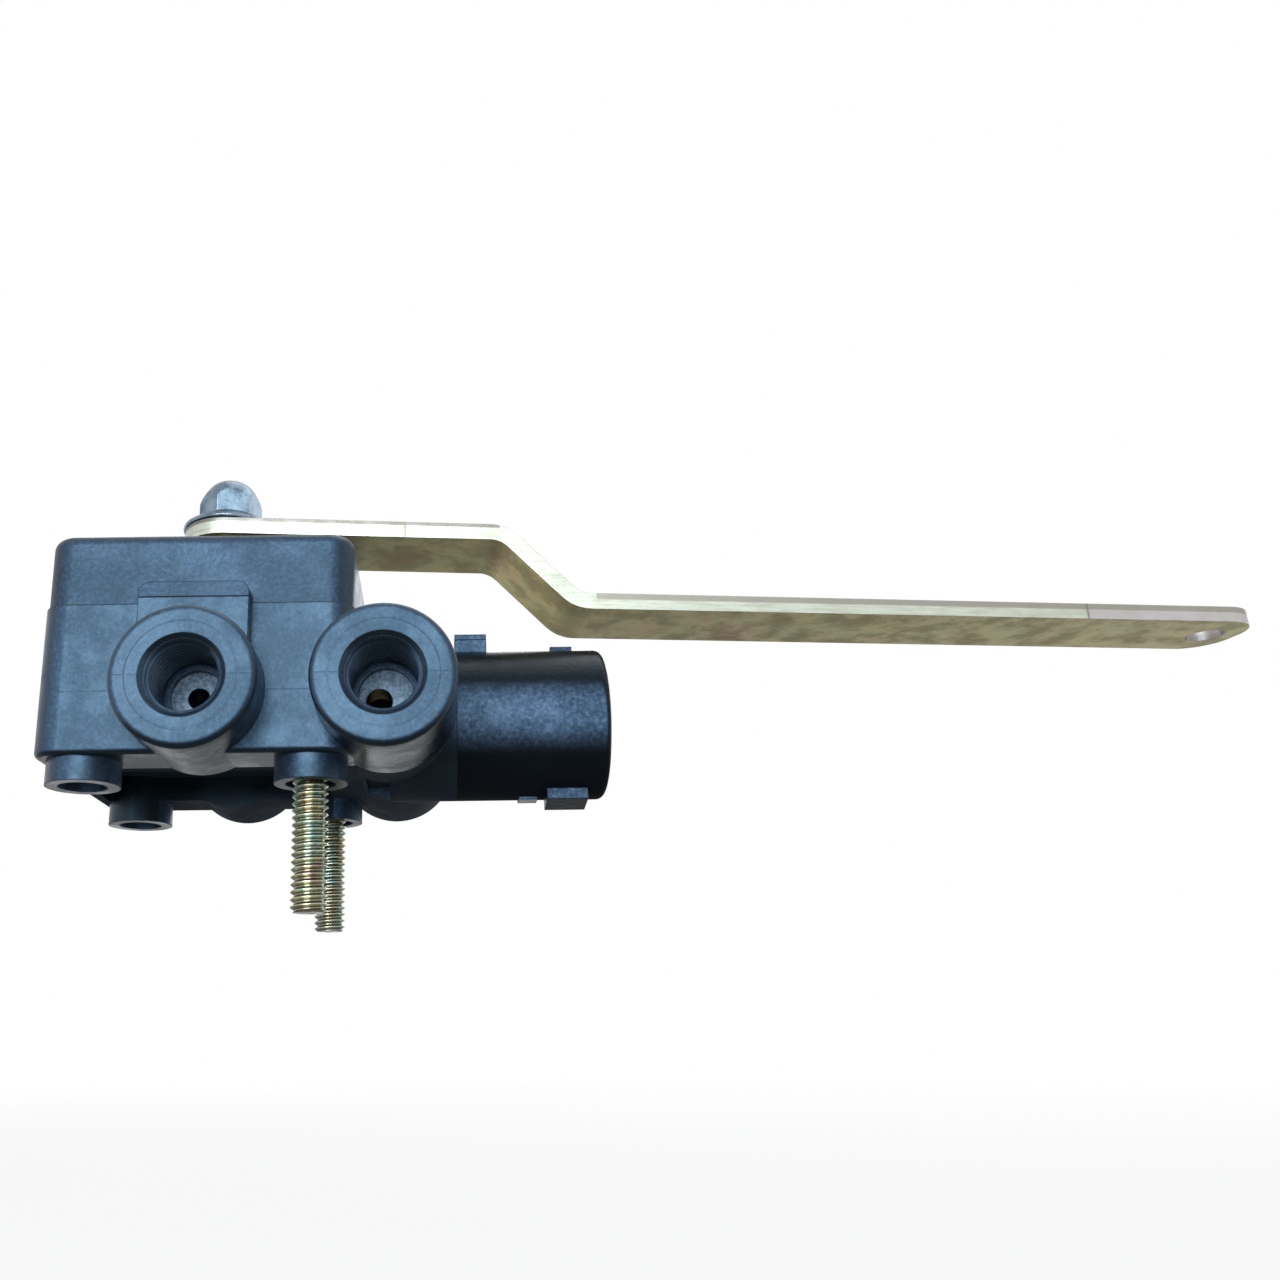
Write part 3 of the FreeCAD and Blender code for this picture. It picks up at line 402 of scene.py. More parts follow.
def bumped(tree, spot, height, strength, distance, normal=None):
    node = addNode(tree, "ShaderNodeBump", spot)
    node.inputs["Strength"].default_value = strength
    node.inputs["Distance"].default_value = distance
    plug(tree, height, node.inputs["Height"])
    if normal is not None:
        plug(tree, normal, node.inputs["Normal"])
    return node.outputs["Normal"]


# black glass-filled nylon, for the valve body, the cover and the connector; the two bluish tones of each are a painted
# sheen, and the black also serves as painted shade
nylonLook = {
    "body": {"blackAndShade": (0.0022, 0.0025, 0.0038), "dark": (0.016, 0.032, 0.064), "light": (0.038, 0.068, 0.122),
             "rough": (0.28, 0.42), "grain": 1500, "grainBump": 0.22, "grit": 0.32, "blotch": 95, "scuff": 0.30,
             "specular": 0.64, "fan": 0.0, "frontOnly": False, "tilt": 0.06, "onRounds": 0.30},
    "cover": {"blackAndShade": (0.0026, 0.0030, 0.0045), "dark": (0.010, 0.021, 0.048), "light": (0.024, 0.046, 0.092),
              "rough": (0.34, 0.46), "grain": 1350, "grainBump": 0.42, "grit": 0.60, "blotch": 75, "scuff": 0.12,
              "specular": 0.65, "fan": 0.65, "frontOnly": False, "tilt": 0.06, "onRounds": 0.25},
    # on the connector the pale tone is a painted highlight band facing the front, a little below the middle
    "connector": {"blackAndShade": (0.0020, 0.0022, 0.0030), "dark": (0.042, 0.075, 0.132), "light": (0.098, 0.160, 0.258),
                  "rough": (0.24, 0.34), "grain": 1250, "grainBump": 0.34, "grit": 0.34, "blotch": 110, "scuff": 0.25,
                  "specular": 0.17, "fan": 0.0, "frontOnly": True, "tilt": -0.16, "onRounds": 0.03},
}
markLook = {"fineWeak": 1.8, "speckPaler": 2.2, "wornPaler": 2.4, "specks": 0.30, "rim": 0.80, "seam": 0.9,
            "worn": 0.25, "seamDepth": 2.0, "portDepth": 1.2, "edge": 0.00028, "edgeWidth": 1.8, "scuffScale": 240.0,
            "scuffWidth": 0.010, "bumpHeight": 0.00016, "tint": (0.46, 0.76, 1.0)}
portLook = {"places": (-0.020, 0.0134), "height": 0.0154, "ring": 0.00935, "ringWidth": 0.00030, "face": 0.0364,
            "fade": 0.0001, "floorRadius": 0.0051, "floorFrom": 0.0205, "floorTo": 0.0235,
            "floor": (0.26, 0.34, 0.44), "floorMottle": 0.35}
recessLook = {"left": -0.0454, "right": 0.0010, "half": 0.0155, "top": 0.0096, "front": -0.0153, "legEnd": 0.0006,
              "dull": 0.55, "smooth": -0.06}
seamLook = {"height": 0.0315, "half": 0.00016, "portAxisHalf": 0.00014, "portAxis": 0.9}


def makeNylon(name, look, ports=False):
    material, tree, shader = newMaterial(name)
    point = objectPoint(tree, (-1300, 0))
    parts = objectParts(tree, (-1300, 1500))
    soft = useGroup(tree, softEdge, (-700, -300), Radius=markLook["edge"], Width=markLook["edgeWidth"])
    fine = useGroup(tree, grain, (-1000, 200), Point=point, Scale=float(look["grain"]))
    fine.inputs["Blotch Scale"].default_value = look["blotch"]
    lines = useGroup(tree, scuffs, (-1000, -100), Point=point, Scale=markLook["scuffScale"],
                     Width=markLook["scuffWidth"])
    colour = mixColour(tree, (-500, 300), fine.outputs["Blotch"], look["dark"], look["light"])
    hollow = maths(tree, (-650, 450), "SUBTRACT", 1.0, fine.outputs["Grit"])
    colour = mixColour(tree, (-420, 300), maths(tree, (-600, 450), "MULTIPLY", hollow, look["grit"]), colour,
                       look["blackAndShade"])
    raised = maths(tree, (-600, 600), "MULTIPLY", fine.outputs["Grit"], look["grit"] / 2)
    colour = mixColour(tree, (-300, 300), raised, colour, paler(look["light"], markLook["fineWeak"]))
    specks = maths(tree, (-500, 150), "MULTIPLY", fine.outputs["Speck"], markLook["specks"])
    colour = mixColour(tree, (-200, 300), specks, colour, paler(look["light"], markLook["speckPaler"]))
    if look["fan"]:
        fan = useGroup(tree, fanMarks, (-1000, 500), Point=point)
        colour = mixColour(tree, (-100, 500), maths(tree, (-300, 600), "MULTIPLY", fan.outputs["Mask"], look["fan"]),
                           colour, paler(look["light"], markLook["wornPaler"]))
    worn = maths(tree, (-500, -100), "MULTIPLY", lines.outputs["Mask"], look["scuff"])
    colour = mixColour(tree, (-50, 300), worn, colour, paler(look["light"], markLook["wornPaler"]))
    # painted light and shade: the bluish tones stay only on flats (on the connector on a band facing the front) as a
    # painted sheen; roundings and undersides get painted shade in the nylon's black
    turned = useGroup(tree, facing, (-900, 800), Tilt=look["tilt"])
    upper = turned.outputs["Upper"]
    square = turned.outputs["Front" if look["frontOnly"] else "Flat"]
    kept = maths(tree, (-500, 800), "ADD", maths(tree, (-600, 800), "MULTIPLY", square, 1 - look["onRounds"]),
                 look["onRounds"])
    colour = mixColour(tree, (100, 300), maths(tree, (-400, 800), "MULTIPLY", upper, kept), look["blackAndShade"], colour)
    if ports:
        # painted light on the port floors, mottled by the grain
        pale = maths(tree, (50, 500), "MULTIPLY", makeBoreFloorLight(tree, parts), spread(
            tree, (-100, 500), fine.outputs["Grit"], 0.0, 1.0, portLook["floorMottle"], 1.0))
        colour = mixColour(tree, (180, 300), pale, colour, portLook["floor"])
        # painted shade on the walls of the cored underside
        colour = mixColour(tree, (220, 300), makeRecessShade(tree, parts), colour, look["blackAndShade"])
    # painted shade: edges and roundings darkened towards the nylon's black
    rimShade = maths(tree, (-100, 100), "MULTIPLY", soft.outputs["Edge"], markLook["rim"])
    colour = mixColour(tree, (250, 300), rimShade, colour, look["blackAndShade"])
    # the joint between cover and body
    seam = spread(tree, (-850, 1100), gap(tree, (-1000, 1100), parts["Z"], seamLook["height"]),
                  0.0, seamLook["half"], 1.0, 0.0)
    colour = mixColour(tree, (350, 300), maths(tree, (200, 500), "MULTIPLY", seam, markLook["seam"]), colour,
                       look["blackAndShade"])
    plug(tree, colour, shader.inputs["Base Color"])
    rough = spread(tree, (-300, 0), fine.outputs["Blotch"], 0.0, 1.0, look["rough"][1], look["rough"][0])
    rubbed = maths(tree, (-500, -900), "MAXIMUM",
                   maths(tree, (-600, -900), "LESS_THAN", parts["Y"], recessLook["front"]),
                   maths(tree, (-600, -1000), "LESS_THAN", parts["Z"], recessLook["legEnd"]))
    below = spread(tree, (-400, -900), rubbed, 0.0, 1.0, recessLook["dull"], recessLook["smooth"])
    lower = maths(tree, (-400, -150), "SUBTRACT", 1.0, upper)
    rough = maths(tree, (0, 0), "ADD", rough, maths(tree, (-300, -150), "MULTIPLY", lower, below))
    creased = maths(tree, (-100, -100), "MAXIMUM", soft.outputs["Edge"], seam)
    rough = maths(tree, (100, 0), "ADD", rough, maths(tree, (0, -100), "MULTIPLY", creased, markLook["worn"]))
    plug(tree, rough, shader.inputs["Roughness"])
    height = maths(tree, (0, -500), "SUBTRACT", fine.outputs["Height"],
                   maths(tree, (-100, -500), "MULTIPLY", seam, markLook["seamDepth"]))
    if ports:
        height = addPortLines(tree, parts, height)
    normal = bumped(tree, (250, -300), height, look["grainBump"], markLook["bumpHeight"], soft.outputs["Normal"])
    plug(tree, normal, shader.inputs["Normal"])
    shader.inputs["Specular IOR Level"].default_value = look["specular"]
    shader.inputs["Specular Tint"].default_value = (*markLook["tint"], 1)
    return material


def fromPortAxis(tree, parts, spot):
    # distance from the nearer port axis
    up = maths(tree, (spot[0] - 400, spot[1] - 100), "SUBTRACT", parts["Z"], portLook["height"])
    both = [distance(tree, (spot[0] - 150, spot[1] - 200 * index), maths(
        tree, (spot[0] - 400, spot[1] + 100 * index), "SUBTRACT", parts["X"], across), up)
        for index, across in enumerate(portLook["places"])]
    return maths(tree, spot, "MINIMUM", *both)


def makeBoreFloorLight(tree, parts):
    # a mask for the floor of each port, facing front or rear, which gets painted light
    inside = maths(tree, (-400, 1500), "LESS_THAN", fromPortAxis(tree, parts, (-600, 1500)), portLook["floorRadius"])
    deep = maths(tree, (-700, 1700), "ABSOLUTE", parts["Y"])
    atFloor = maths(tree, (-300, 1700), "MULTIPLY",
                    maths(tree, (-500, 1700), "GREATER_THAN", deep, portLook["floorFrom"]),
                    maths(tree, (-500, 1800), "LESS_THAN", deep, portLook["floorTo"]))
    turned = useGroup(tree, facing, (-500, 1950))
    return maths(tree, (-100, 1600), "MULTIPLY", maths(
        tree, (-200, 1500), "MULTIPLY", inside, atFloor), turned.outputs["Front"])


def makeRecessShade(tree, parts):
    # a mask for the walls inside the cored underside, which get painted shade in the nylon's black
    across = maths(tree, (-900, 2300), "MULTIPLY",
                   maths(tree, (-1100, 2400), "GREATER_THAN", parts["X"], recessLook["left"]),
                   maths(tree, (-1100, 2250), "LESS_THAN", parts["X"], recessLook["right"]))
    deep = maths(tree, (-900, 2100), "LESS_THAN", maths(tree, (-1100, 2100), "ABSOLUTE", parts["Y"]),
                 recessLook["half"])
    low = maths(tree, (-900, 1950), "LESS_THAN", parts["Z"], recessLook["top"])
    return maths(tree, (-500, 2200), "MULTIPLY", across, maths(tree, (-700, 2050), "MULTIPLY", deep, low))


def addPortLines(tree, parts, height):
    # faint ring on the port faces, and the mould line round the housing at the port axis
    ring = spread(tree, (-500, -650), gap(tree, (-650, -650), fromPortAxis(tree, parts, (-800, -650)),
                                          portLook["ring"]), 0.0, portLook["ringWidth"], 1.0, 0.0)
    onFace = spread(tree, (-900, -1100), maths(tree, (-1100, -1100), "ABSOLUTE", parts["Y"]),
                    portLook["face"] - portLook["fade"], portLook["face"])
    line = spread(tree, (-750, -1300), gap(tree, (-900, -1300), parts["Z"], portLook["height"]),
                  0.0, seamLook["portAxisHalf"], 1.0, 0.0)
    total = maths(tree, (-100, -800), "MAXIMUM", maths(tree, (-200, -650), "MULTIPLY", ring, onFace),
                  maths(tree, (-600, -1300), "MULTIPLY", line, seamLook["portAxis"]))
    return maths(tree, (0, -600), "ADD", height, maths(tree, (-50, -700), "MULTIPLY", total, markLook["portDepth"]))


nylonBody = makeNylon("blackNylonBody", nylonLook["body"], ports=True)
nylonCover = makeNylon("blackNylonCover", nylonLook["cover"])
# the port threads keep more of the painted sheen, with a paler tone, as a painted highlight on their ridges
nylonThread = makeNylon("blackNylonThread", {**nylonLook["body"], "onRounds": 0.9, "light": (0.055, 0.090, 0.150),
                                             "rough": (0.22, 0.34), "grit": 0.15})
nylonConnector = makeNylon("blackNylonConnector", nylonLook["connector"])
print("nylon made")


def makeYellowZinc():
    # passivated zinc on the lever: the sheared side faces painted pale and the flat faces olive brown, a painted
    # reflection split by face direction, with pink and green clouds in the zinc
    look = {"turn": -5.22, "edge": (0.62, 0.67, 0.58), "edgeDark": (0.42, 0.46, 0.37),
            "rim": (0.76, 0.78, 0.72), "dust": (0.25, 0.215, 0.13),
            "line": (0.20, 0.19, 0.16), "under": (0.10, 0.085, 0.05), "tipEdge": (0.54, 0.52, 0.53),
            "tipEnd": (0.26, 0.23, 0.16), "tipFrom": 0.1975,
            "runs": ((-0.04, 0.0352, 0.0569, 0.0008, (0.22, 0.215, 0.20)),
                     (0.0545, 0.21, 0.0423, 0.0013, (0.35, 0.34, 0.31))),
            "marks": (0.0159, 0.1591)}
    material, tree, shader = newMaterial("yellowZincLever")
    point = objectPoint(tree, (-1400, 0), turn=(0, 0, look["turn"]))
    cloud = addNode(tree, "ShaderNodeTexNoise", (-1000, 300), in_2=55.0, in_3=4.0, in_4=0.6, in_8=0.7)
    plug(tree, point, cloud.inputs["Vector"])
    faces = ramp(tree, (-750, 300), cloud.outputs["Fac"], [
        (0.30, (0.28, 0.220, 0.078)), (0.42, (0.33, 0.278, 0.096)), (0.50, (0.29, 0.280, 0.112)),
        (0.58, (0.33, 0.272, 0.100)), (0.70, (0.30, 0.215, 0.092))])
    streaks = addNode(tree, "ShaderNodeTexNoise", (-1000, 0), in_2=1.0, in_3=6.0, in_4=0.7)
    plug(tree, objectPoint(tree, (-1200, 0), scale=(120, 120, 1500), turn=(0, 0, look["turn"])),
         streaks.inputs["Vector"])
    edge = mixColour(tree, (-750, 50), spread(tree, (-850, 0), streaks.outputs["Fac"], 0.25, 0.62),
                     look["edgeDark"], look["edge"])
    shape = addNode(tree, "ShaderNodeNewGeometry", (-1200, -300))
    parts = addNode(tree, "ShaderNodeSeparateXYZ", (-1000, -300))
    plug(tree, shape.outputs["Normal"], parts.inputs[0])
    # painted reflection: side faces take the pale tone, flat faces the olive brown
    flat = spread(tree, (-800, -300), maths(tree, (-900, -300), "ABSOLUTE", parts.outputs["Z"]), 0.45, 0.62)
    colour = mixColour(tree, (-400, 200), flat, edge, faces)
    places = addNode(tree, "ShaderNodeSeparateXYZ", (-900, 500))
    plug(tree, point, places.inputs[0])
    side = maths(tree, (-350, 400), "SUBTRACT", 1.0, flat)
    past = maths(tree, (-300, 950), "GREATER_THAN", places.outputs["X"], look["marks"][1])
    colour = mixColour(tree, (-330, 250), maths(tree, (-200, 950), "MULTIPLY", past, side), colour, look["tipEdge"])
    # painted shade: a grey-brown line along the top of the side faces, on the rounded top edge
    for start, end, top, depth, shoulder in look["runs"]:
        within = maths(tree, (-500, 750), "MULTIPLY", maths(
            tree, (-700, 700), "GREATER_THAN", places.outputs["X"], start), maths(
            tree, (-700, 800), "LESS_THAN", places.outputs["X"], end))
        over = spread(tree, (-700, 600), places.outputs["Z"], top - depth - 0.00015, top - depth + 0.00015)
        zone = maths(tree, (-400, 700), "MULTIPLY", over, within)
        colour = mixColour(tree, (-310, 250), maths(tree, (-250, 600), "MULTIPLY", zone, side), colour, shoulder)
    lines = None
    for mark in look["marks"]:
        thin = spread(tree, (-400, 900), gap(tree, (-500, 900), places.outputs["X"], mark), 0.0, 0.0005, 0.8, 0.0)
        lines = thin if lines is None else maths(tree, (-200, 800), "MAXIMUM", lines, thin)
    colour = mixColour(tree, (-290, 250), maths(tree, (-250, 500), "MULTIPLY", lines, side), colour, look["line"])
    tip = maths(tree, (-150, 1000), "MULTIPLY", side, spread(
        tree, (-250, 1050), places.outputs["X"], look["tipFrom"], look["tipFrom"] + 0.001))
    colour = mixColour(tree, (-270, 250), tip, colour, look["tipEnd"])
    soft = useGroup(tree, softEdge, (-700, -500), Radius=0.0002, Width=1.6)
    # painted highlight: a pale line along the edges of the side faces
    edgeHighlight = maths(tree, (-450, -350), "MULTIPLY", soft.outputs["Edge"],
                   maths(tree, (-550, -400), "MULTIPLY", side, 0.6))
    colour = mixColour(tree, (-200, 200), edgeHighlight, colour, look["rim"])
    # painted shade: the edges of the underside darkened
    below = maths(tree, (-450, -500), "MULTIPLY", soft.outputs["Edge"], maths(
        tree, (-550, -550), "MULTIPLY", spread(tree, (-650, -600), parts.outputs["Z"], -0.6, -0.5, 1.0, 0.0), 0.8))
    colour = mixColour(tree, (-150, 200), below, colour, look["under"])
    fine = useGroup(tree, grain, (-1000, -700), Point=point, Scale=1800.0)
    fine.inputs["Blotch Scale"].default_value = 160.0
    colour = mixColour(tree, (0, 200), maths(tree, (-300, 0), "MULTIPLY", fine.outputs["Blotch"], 0.25),
                       colour, look["dust"])
    plug(tree, colour, shader.inputs["Base Color"])
    shader.inputs["Metallic"].default_value = 1.0
    plug(tree, spread(tree, (100, -100), fine.outputs["Blotch"], 0.0, 1.0, 0.34, 0.48), shader.inputs["Roughness"])
    height = maths(tree, (-300, -600), "ADD", fine.outputs["Height"], streaks.outputs["Fac"])
    plug(tree, bumped(tree, (250, -300), height, 0.10, 0.00015, soft.outputs["Normal"]), shader.inputs["Normal"])
    return material


def makeStudZinc():
    # iridescent bands of yellow, green, teal and rose on the thread
    material, tree, shader = newMaterial("iridescentZincStud")
    point = objectPoint(tree, (-1200, 0), scale=(1, 1, 0.6))
    cloud = addNode(tree, "ShaderNodeTexNoise", (-900, 100), in_2=170.0, in_3=3.0, in_4=0.55, in_8=1.2)
    plug(tree, point, cloud.inputs["Vector"])
    colour = ramp(tree, (-650, 100), cloud.outputs["Fac"], [
        (0.30, (0.46, 0.35, 0.33)), (0.40, (0.54, 0.49, 0.33)), (0.47, (0.56, 0.60, 0.42)),
        (0.54, (0.40, 0.57, 0.50)), (0.62, (0.60, 0.62, 0.52)), (0.72, (0.56, 0.49, 0.48))])
    parts = objectParts(tree, (-1300, -500))
    # painted shade: the thread roots are darkened by their distance from the stud axis
    across = maths(tree, (-1000, -600), "SUBTRACT", maths(tree, (-1100, -600), "ABSOLUTE", parts["Y"]), 0.020)
    away = distance(tree, (-700, -500), parts["X"], across)
    root = spread(tree, (-550, -500), away, 0.00258, 0.00295, 0.60, 0.0)
    colour = mixColour(tree, (-450, 100), root, colour, (0.045, 0.038, 0.025))
    fine = useGroup(tree, grain, (-900, -250), Point=point, Scale=2600.0)
    fine.inputs["Blotch Scale"].default_value = 400.0
    colour = mixColour(tree, (-300, 100), maths(tree, (-500, -100), "MULTIPLY", fine.outputs["Blotch"], 0.35),
                       colour, (0.20, 0.18, 0.13))
    plug(tree, colour, shader.inputs["Base Color"])
    shader.inputs["Metallic"].default_value = 1.0
    plug(tree, spread(tree, (-100, -100), fine.outputs["Blotch"], 0.0, 1.0, 0.22, 0.38), shader.inputs["Roughness"])
    plug(tree, bumped(tree, (200, -300), fine.outputs["Height"], 0.06, 0.0001), shader.inputs["Normal"])
    return material


metalLook = {
    "clearZinc": {"low": (0.095, 0.140, 0.190), "high": (0.23, 0.32, 0.40), "rough": (0.20, 0.34), "bump": 0.08,
                  "scale": 1500, "edge": (0.62, 0.68, 0.72)},
    "machinedSteel": {"low": (0.40, 0.40, 0.41), "high": (0.56, 0.56, 0.57), "rough": (0.26, 0.42), "bump": 0.10,
                      "scale": 1800, "edge": (0.75, 0.75, 0.75)},
    "springSteel": {"low": (0.30, 0.30, 0.31), "high": (0.46, 0.45, 0.44), "rough": (0.22, 0.36), "bump": 0.06,
                    "scale": 2500, "edge": (0.6, 0.6, 0.6)},
    "machinedBrass": {"low": (0.60, 0.43, 0.17), "high": (0.76, 0.58, 0.27), "rough": (0.22, 0.36), "bump": 0.08,
                      "scale": 1600, "edge": (0.88, 0.72, 0.40)},
    "sinteredBronze": {"low": (0.36, 0.23, 0.12), "high": (0.56, 0.38, 0.20), "rough": (0.40, 0.60), "bump": 0.30,
                       "scale": 2400, "edge": (0.64, 0.46, 0.27)},
    "tinnedPin": {"low": (0.60, 0.60, 0.58), "high": (0.76, 0.76, 0.73), "rough": (0.26, 0.40), "bump": 0.05,
                  "scale": 2200, "edge": (0.85, 0.85, 0.82)},
    "blackedSteel": {"low": (0.05, 0.05, 0.055), "high": (0.11, 0.11, 0.12), "rough": (0.34, 0.50), "bump": 0.10,
                     "scale": 2000, "edge": (0.35, 0.35, 0.36)},
}


def makeMetal(name):
    look = metalLook[name]
    material, tree, shader = newMaterial(name)
    point = objectPoint(tree, (-1200, 0))
    fine = useGroup(tree, grain, (-900, 100), Point=point, Scale=float(look["scale"]))
    fine.inputs["Blotch Scale"].default_value = 220.0
    lines = useGroup(tree, scuffs, (-900, -200), Point=point, Scale=420.0, Width=0.015)
    soft = useGroup(tree, softEdge, (-900, -450), Radius=0.0002, Width=1.8)
    colour = mixColour(tree, (-500, 200), fine.outputs["Blotch"], look["low"], look["high"])
    marks = maths(tree, (-500, -100), "MULTIPLY", lines.outputs["Mask"], 0.3)
    colour = mixColour(tree, (-300, 200), marks, colour, look["edge"])
    colour = mixColour(tree, (-100, 200), maths(tree, (-300, -50), "MULTIPLY", soft.outputs["Edge"], 0.6),
                       colour, look["edge"])
    plug(tree, colour, shader.inputs["Base Color"])
    shader.inputs["Metallic"].default_value = 1.0
    plug(tree, spread(tree, (100, -50), fine.outputs["Blotch"], 0.0, 1.0, *look["rough"]), shader.inputs["Roughness"])
    plug(tree, bumped(tree, (250, -300), fine.outputs["Height"], look["bump"], 0.0001, soft.outputs["Normal"]),
         shader.inputs["Normal"])
    return material


softLook = {
    "acetal": {"low": (0.70, 0.70, 0.66), "high": (0.83, 0.83, 0.80), "rough": (0.30, 0.45), "bump": 0.08,
               "scale": 1500},
    "blackRubber": {"low": (0.010, 0.010, 0.010), "high": (0.026, 0.026, 0.027), "rough": (0.55, 0.75), "bump": 0.2,
                    "scale": 3200},
}


def makeMoulded(name):
    look = softLook[name]
    material, tree, shader = newMaterial(name)
    point = objectPoint(tree, (-1000, 0))
    fine = useGroup(tree, grain, (-700, 100), Point=point, Scale=float(look["scale"]))
    fine.inputs["Blotch Scale"].default_value = 150.0
    plug(tree, mixColour(tree, (-300, 200), fine.outputs["Blotch"], look["low"], look["high"]),
         shader.inputs["Base Color"])
    plug(tree, spread(tree, (-100, 0), fine.outputs["Blotch"], 0.0, 1.0, *look["rough"]), shader.inputs["Roughness"])
    plug(tree, bumped(tree, (100, -300), fine.outputs["Height"], look["bump"], 0.0001), shader.inputs["Normal"])
    return material


def makeWinding():
    # rows of enamelled wire side by side round the coil
    material, tree, shader = newMaterial("copperWinding")
    wires = addNode(tree, "ShaderNodeTexWave", (-700, 100), wave_type="BANDS", bands_direction="X")
    plug(tree, objectPoint(tree, (-950, 100)), wires.inputs["Vector"])
    wires.inputs["Scale"].default_value = 380.0
    wires.inputs["Distortion"].default_value = 0.15
    plug(tree, ramp(tree, (-400, 150), wires.outputs["Fac"], [
        (0.0, (0.16, 0.05, 0.02)), (0.45, (0.52, 0.20, 0.08)), (1.0, (0.80, 0.40, 0.20))]),
        shader.inputs["Base Color"])
    shader.inputs["Metallic"].default_value = 0.9
    plug(tree, spread(tree, (-400, -100), wires.outputs["Fac"], 0.0, 1.0, 0.5, 0.28), shader.inputs["Roughness"])
    plug(tree, bumped(tree, (-100, -300), wires.outputs["Fac"], 0.8, 0.0002), shader.inputs["Normal"])
    return material


yellowZinc = makeYellowZinc()
studZinc = makeStudZinc()
metals = {name: makeMetal(name) for name in metalLook}
moulded = {name: makeMoulded(name) for name in softLook}
winding = makeWinding()

cadFinish = {
    "valve_body": nylonBody, "cover": nylonCover, "connector_housing": nylonConnector,
    "lever": yellowZinc, "flange_nut": metals["clearZinc"],
    "control_shaft": metals["machinedSteel"], "armature": metals["machinedSteel"],
    "pole_core": metals["machinedSteel"], "guide_tube": metals["machinedSteel"], "yoke_can": metals["machinedSteel"],
    "check_seat": metals["machinedBrass"], "solenoid_seat": metals["machinedBrass"],
    "shaft_bush": metals["sinteredBronze"], "contact_front": metals["tinnedPin"], "contact_rear": metals["tinnedPin"],
    "spool": moulded["acetal"], "coil_bobbin": moulded["acetal"], "thrust_washer": moulded["acetal"],
    "coil_winding": winding,
}
for node, piece in cad.items():
    material = cadFinish.get(node, moulded["blackRubber"])
    piece.data.materials.clear()
    piece.data.materials.append(material)
print("materials made and given to the solids")


def makeRidge(name, thread):
    # one closed tooth swept upwards round the Z axis; base and crest are radii
    deselectAll()
    middle = (thread["base"] + thread["crest"]) / 2
    bpy.ops.mesh.primitive_plane_add(size=mm, location=(middle * mm, 0, thread["start"] * mm),
                                     rotation=(radians(90), 0, 0))
    piece = newest(name)
    applyPlace(piece)
    bpy.ops.object.mode_set(mode="EDIT")
    bpy.ops.mesh.select_all(action="SELECT")
    centre = (middle * mm, 0, thread["start"] * mm)
    bpy.ops.transform.resize(value=(abs(thread["base"] - thread["crest"]), 1, thread["baseWidth"]),
                             center_override=centre)
    leaveEdit()
    outward = thread["crest"] > thread["base"]
    pick(piece, "VERT", lambda point: (point.x > middle * mm) == outward)
    bpy.ops.transform.resize(value=(1, 1, thread["crestWidth"] / thread["baseWidth"]), center_override=centre)
    bpy.ops.mesh.select_mode(type="FACE")
    bpy.ops.mesh.select_all(action="SELECT")
    bpy.ops.mesh.delete(type="ONLY_FACE")
    leaveEdit()
    applyModifier(piece, "SCREW", axis="Z", angle=2 * pi, screw_offset=thread["pitch"] * mm,
                  iterations=thread["turns"], steps=thread["steps"], render_steps=thread["steps"],
                  use_smooth_shade=False)
    closeEnds(piece)
    return piece


def makeRod(name, radius, low, high, chamfer=0.0, sides=64):
    deselectAll()
    bpy.ops.mesh.primitive_cylinder_add(vertices=sides, radius=radius * mm, depth=(high - low) * mm,
                                        location=(0, 0, (low + high) / 2 * mm))
    piece = newest(name)
    applyPlace(piece)
    if chamfer:
        pick(piece, "EDGE", lambda a, b: abs(a.z - b.z) < 0.01 * mm)
        bpy.ops.mesh.bevel(offset=chamfer * mm, offset_type="OFFSET", segments=1)
        leaveEdit()
    return piece


stud = {"base": 2.42, "crest": 3.15, "baseWidth": 1.16, "crestWidth": 0.15, "pitch": 1.27, "start": -23.2,
        "turns": 24, "steps": 40, "root": 2.5, "end": -22.2, "shoulder": 5.0, "grip": 3.58, "top": 17.0,
        "chamfer": 0.55, "gripChamfer": 0.3}
ridge = makeRidge("studRidge", stud)
rod = makeRod("threadedStud", stud["root"], stud["end"] - 1, stud["shoulder"] + 1)
combine(rod, ridge, "UNION")
combine(rod, makeRod("studEnvelope", stud["crest"] + 0.01, stud["end"], stud["shoulder"] + 0.6, stud["chamfer"]),
        "INTERSECT")
combine(rod, makeRod("studGrip", stud["grip"], stud["shoulder"], stud["top"], stud["gripChamfer"]), "UNION")
tidyMesh(rod)
smooth(rod, 40)
rear = twin(rod, "threadedStudRear")
rod.name = "threadedStudFront"
place(rod, (0, 0, 0), (0, -20, 0))
place(rear, (0, 0, 150), (0, 20, 0))
dress(rod, studZinc, "housing_set", "yellow_zinc", "stud_front")
dress(rear, studZinc, "housing_set", "yellow_zinc", "stud_rear")

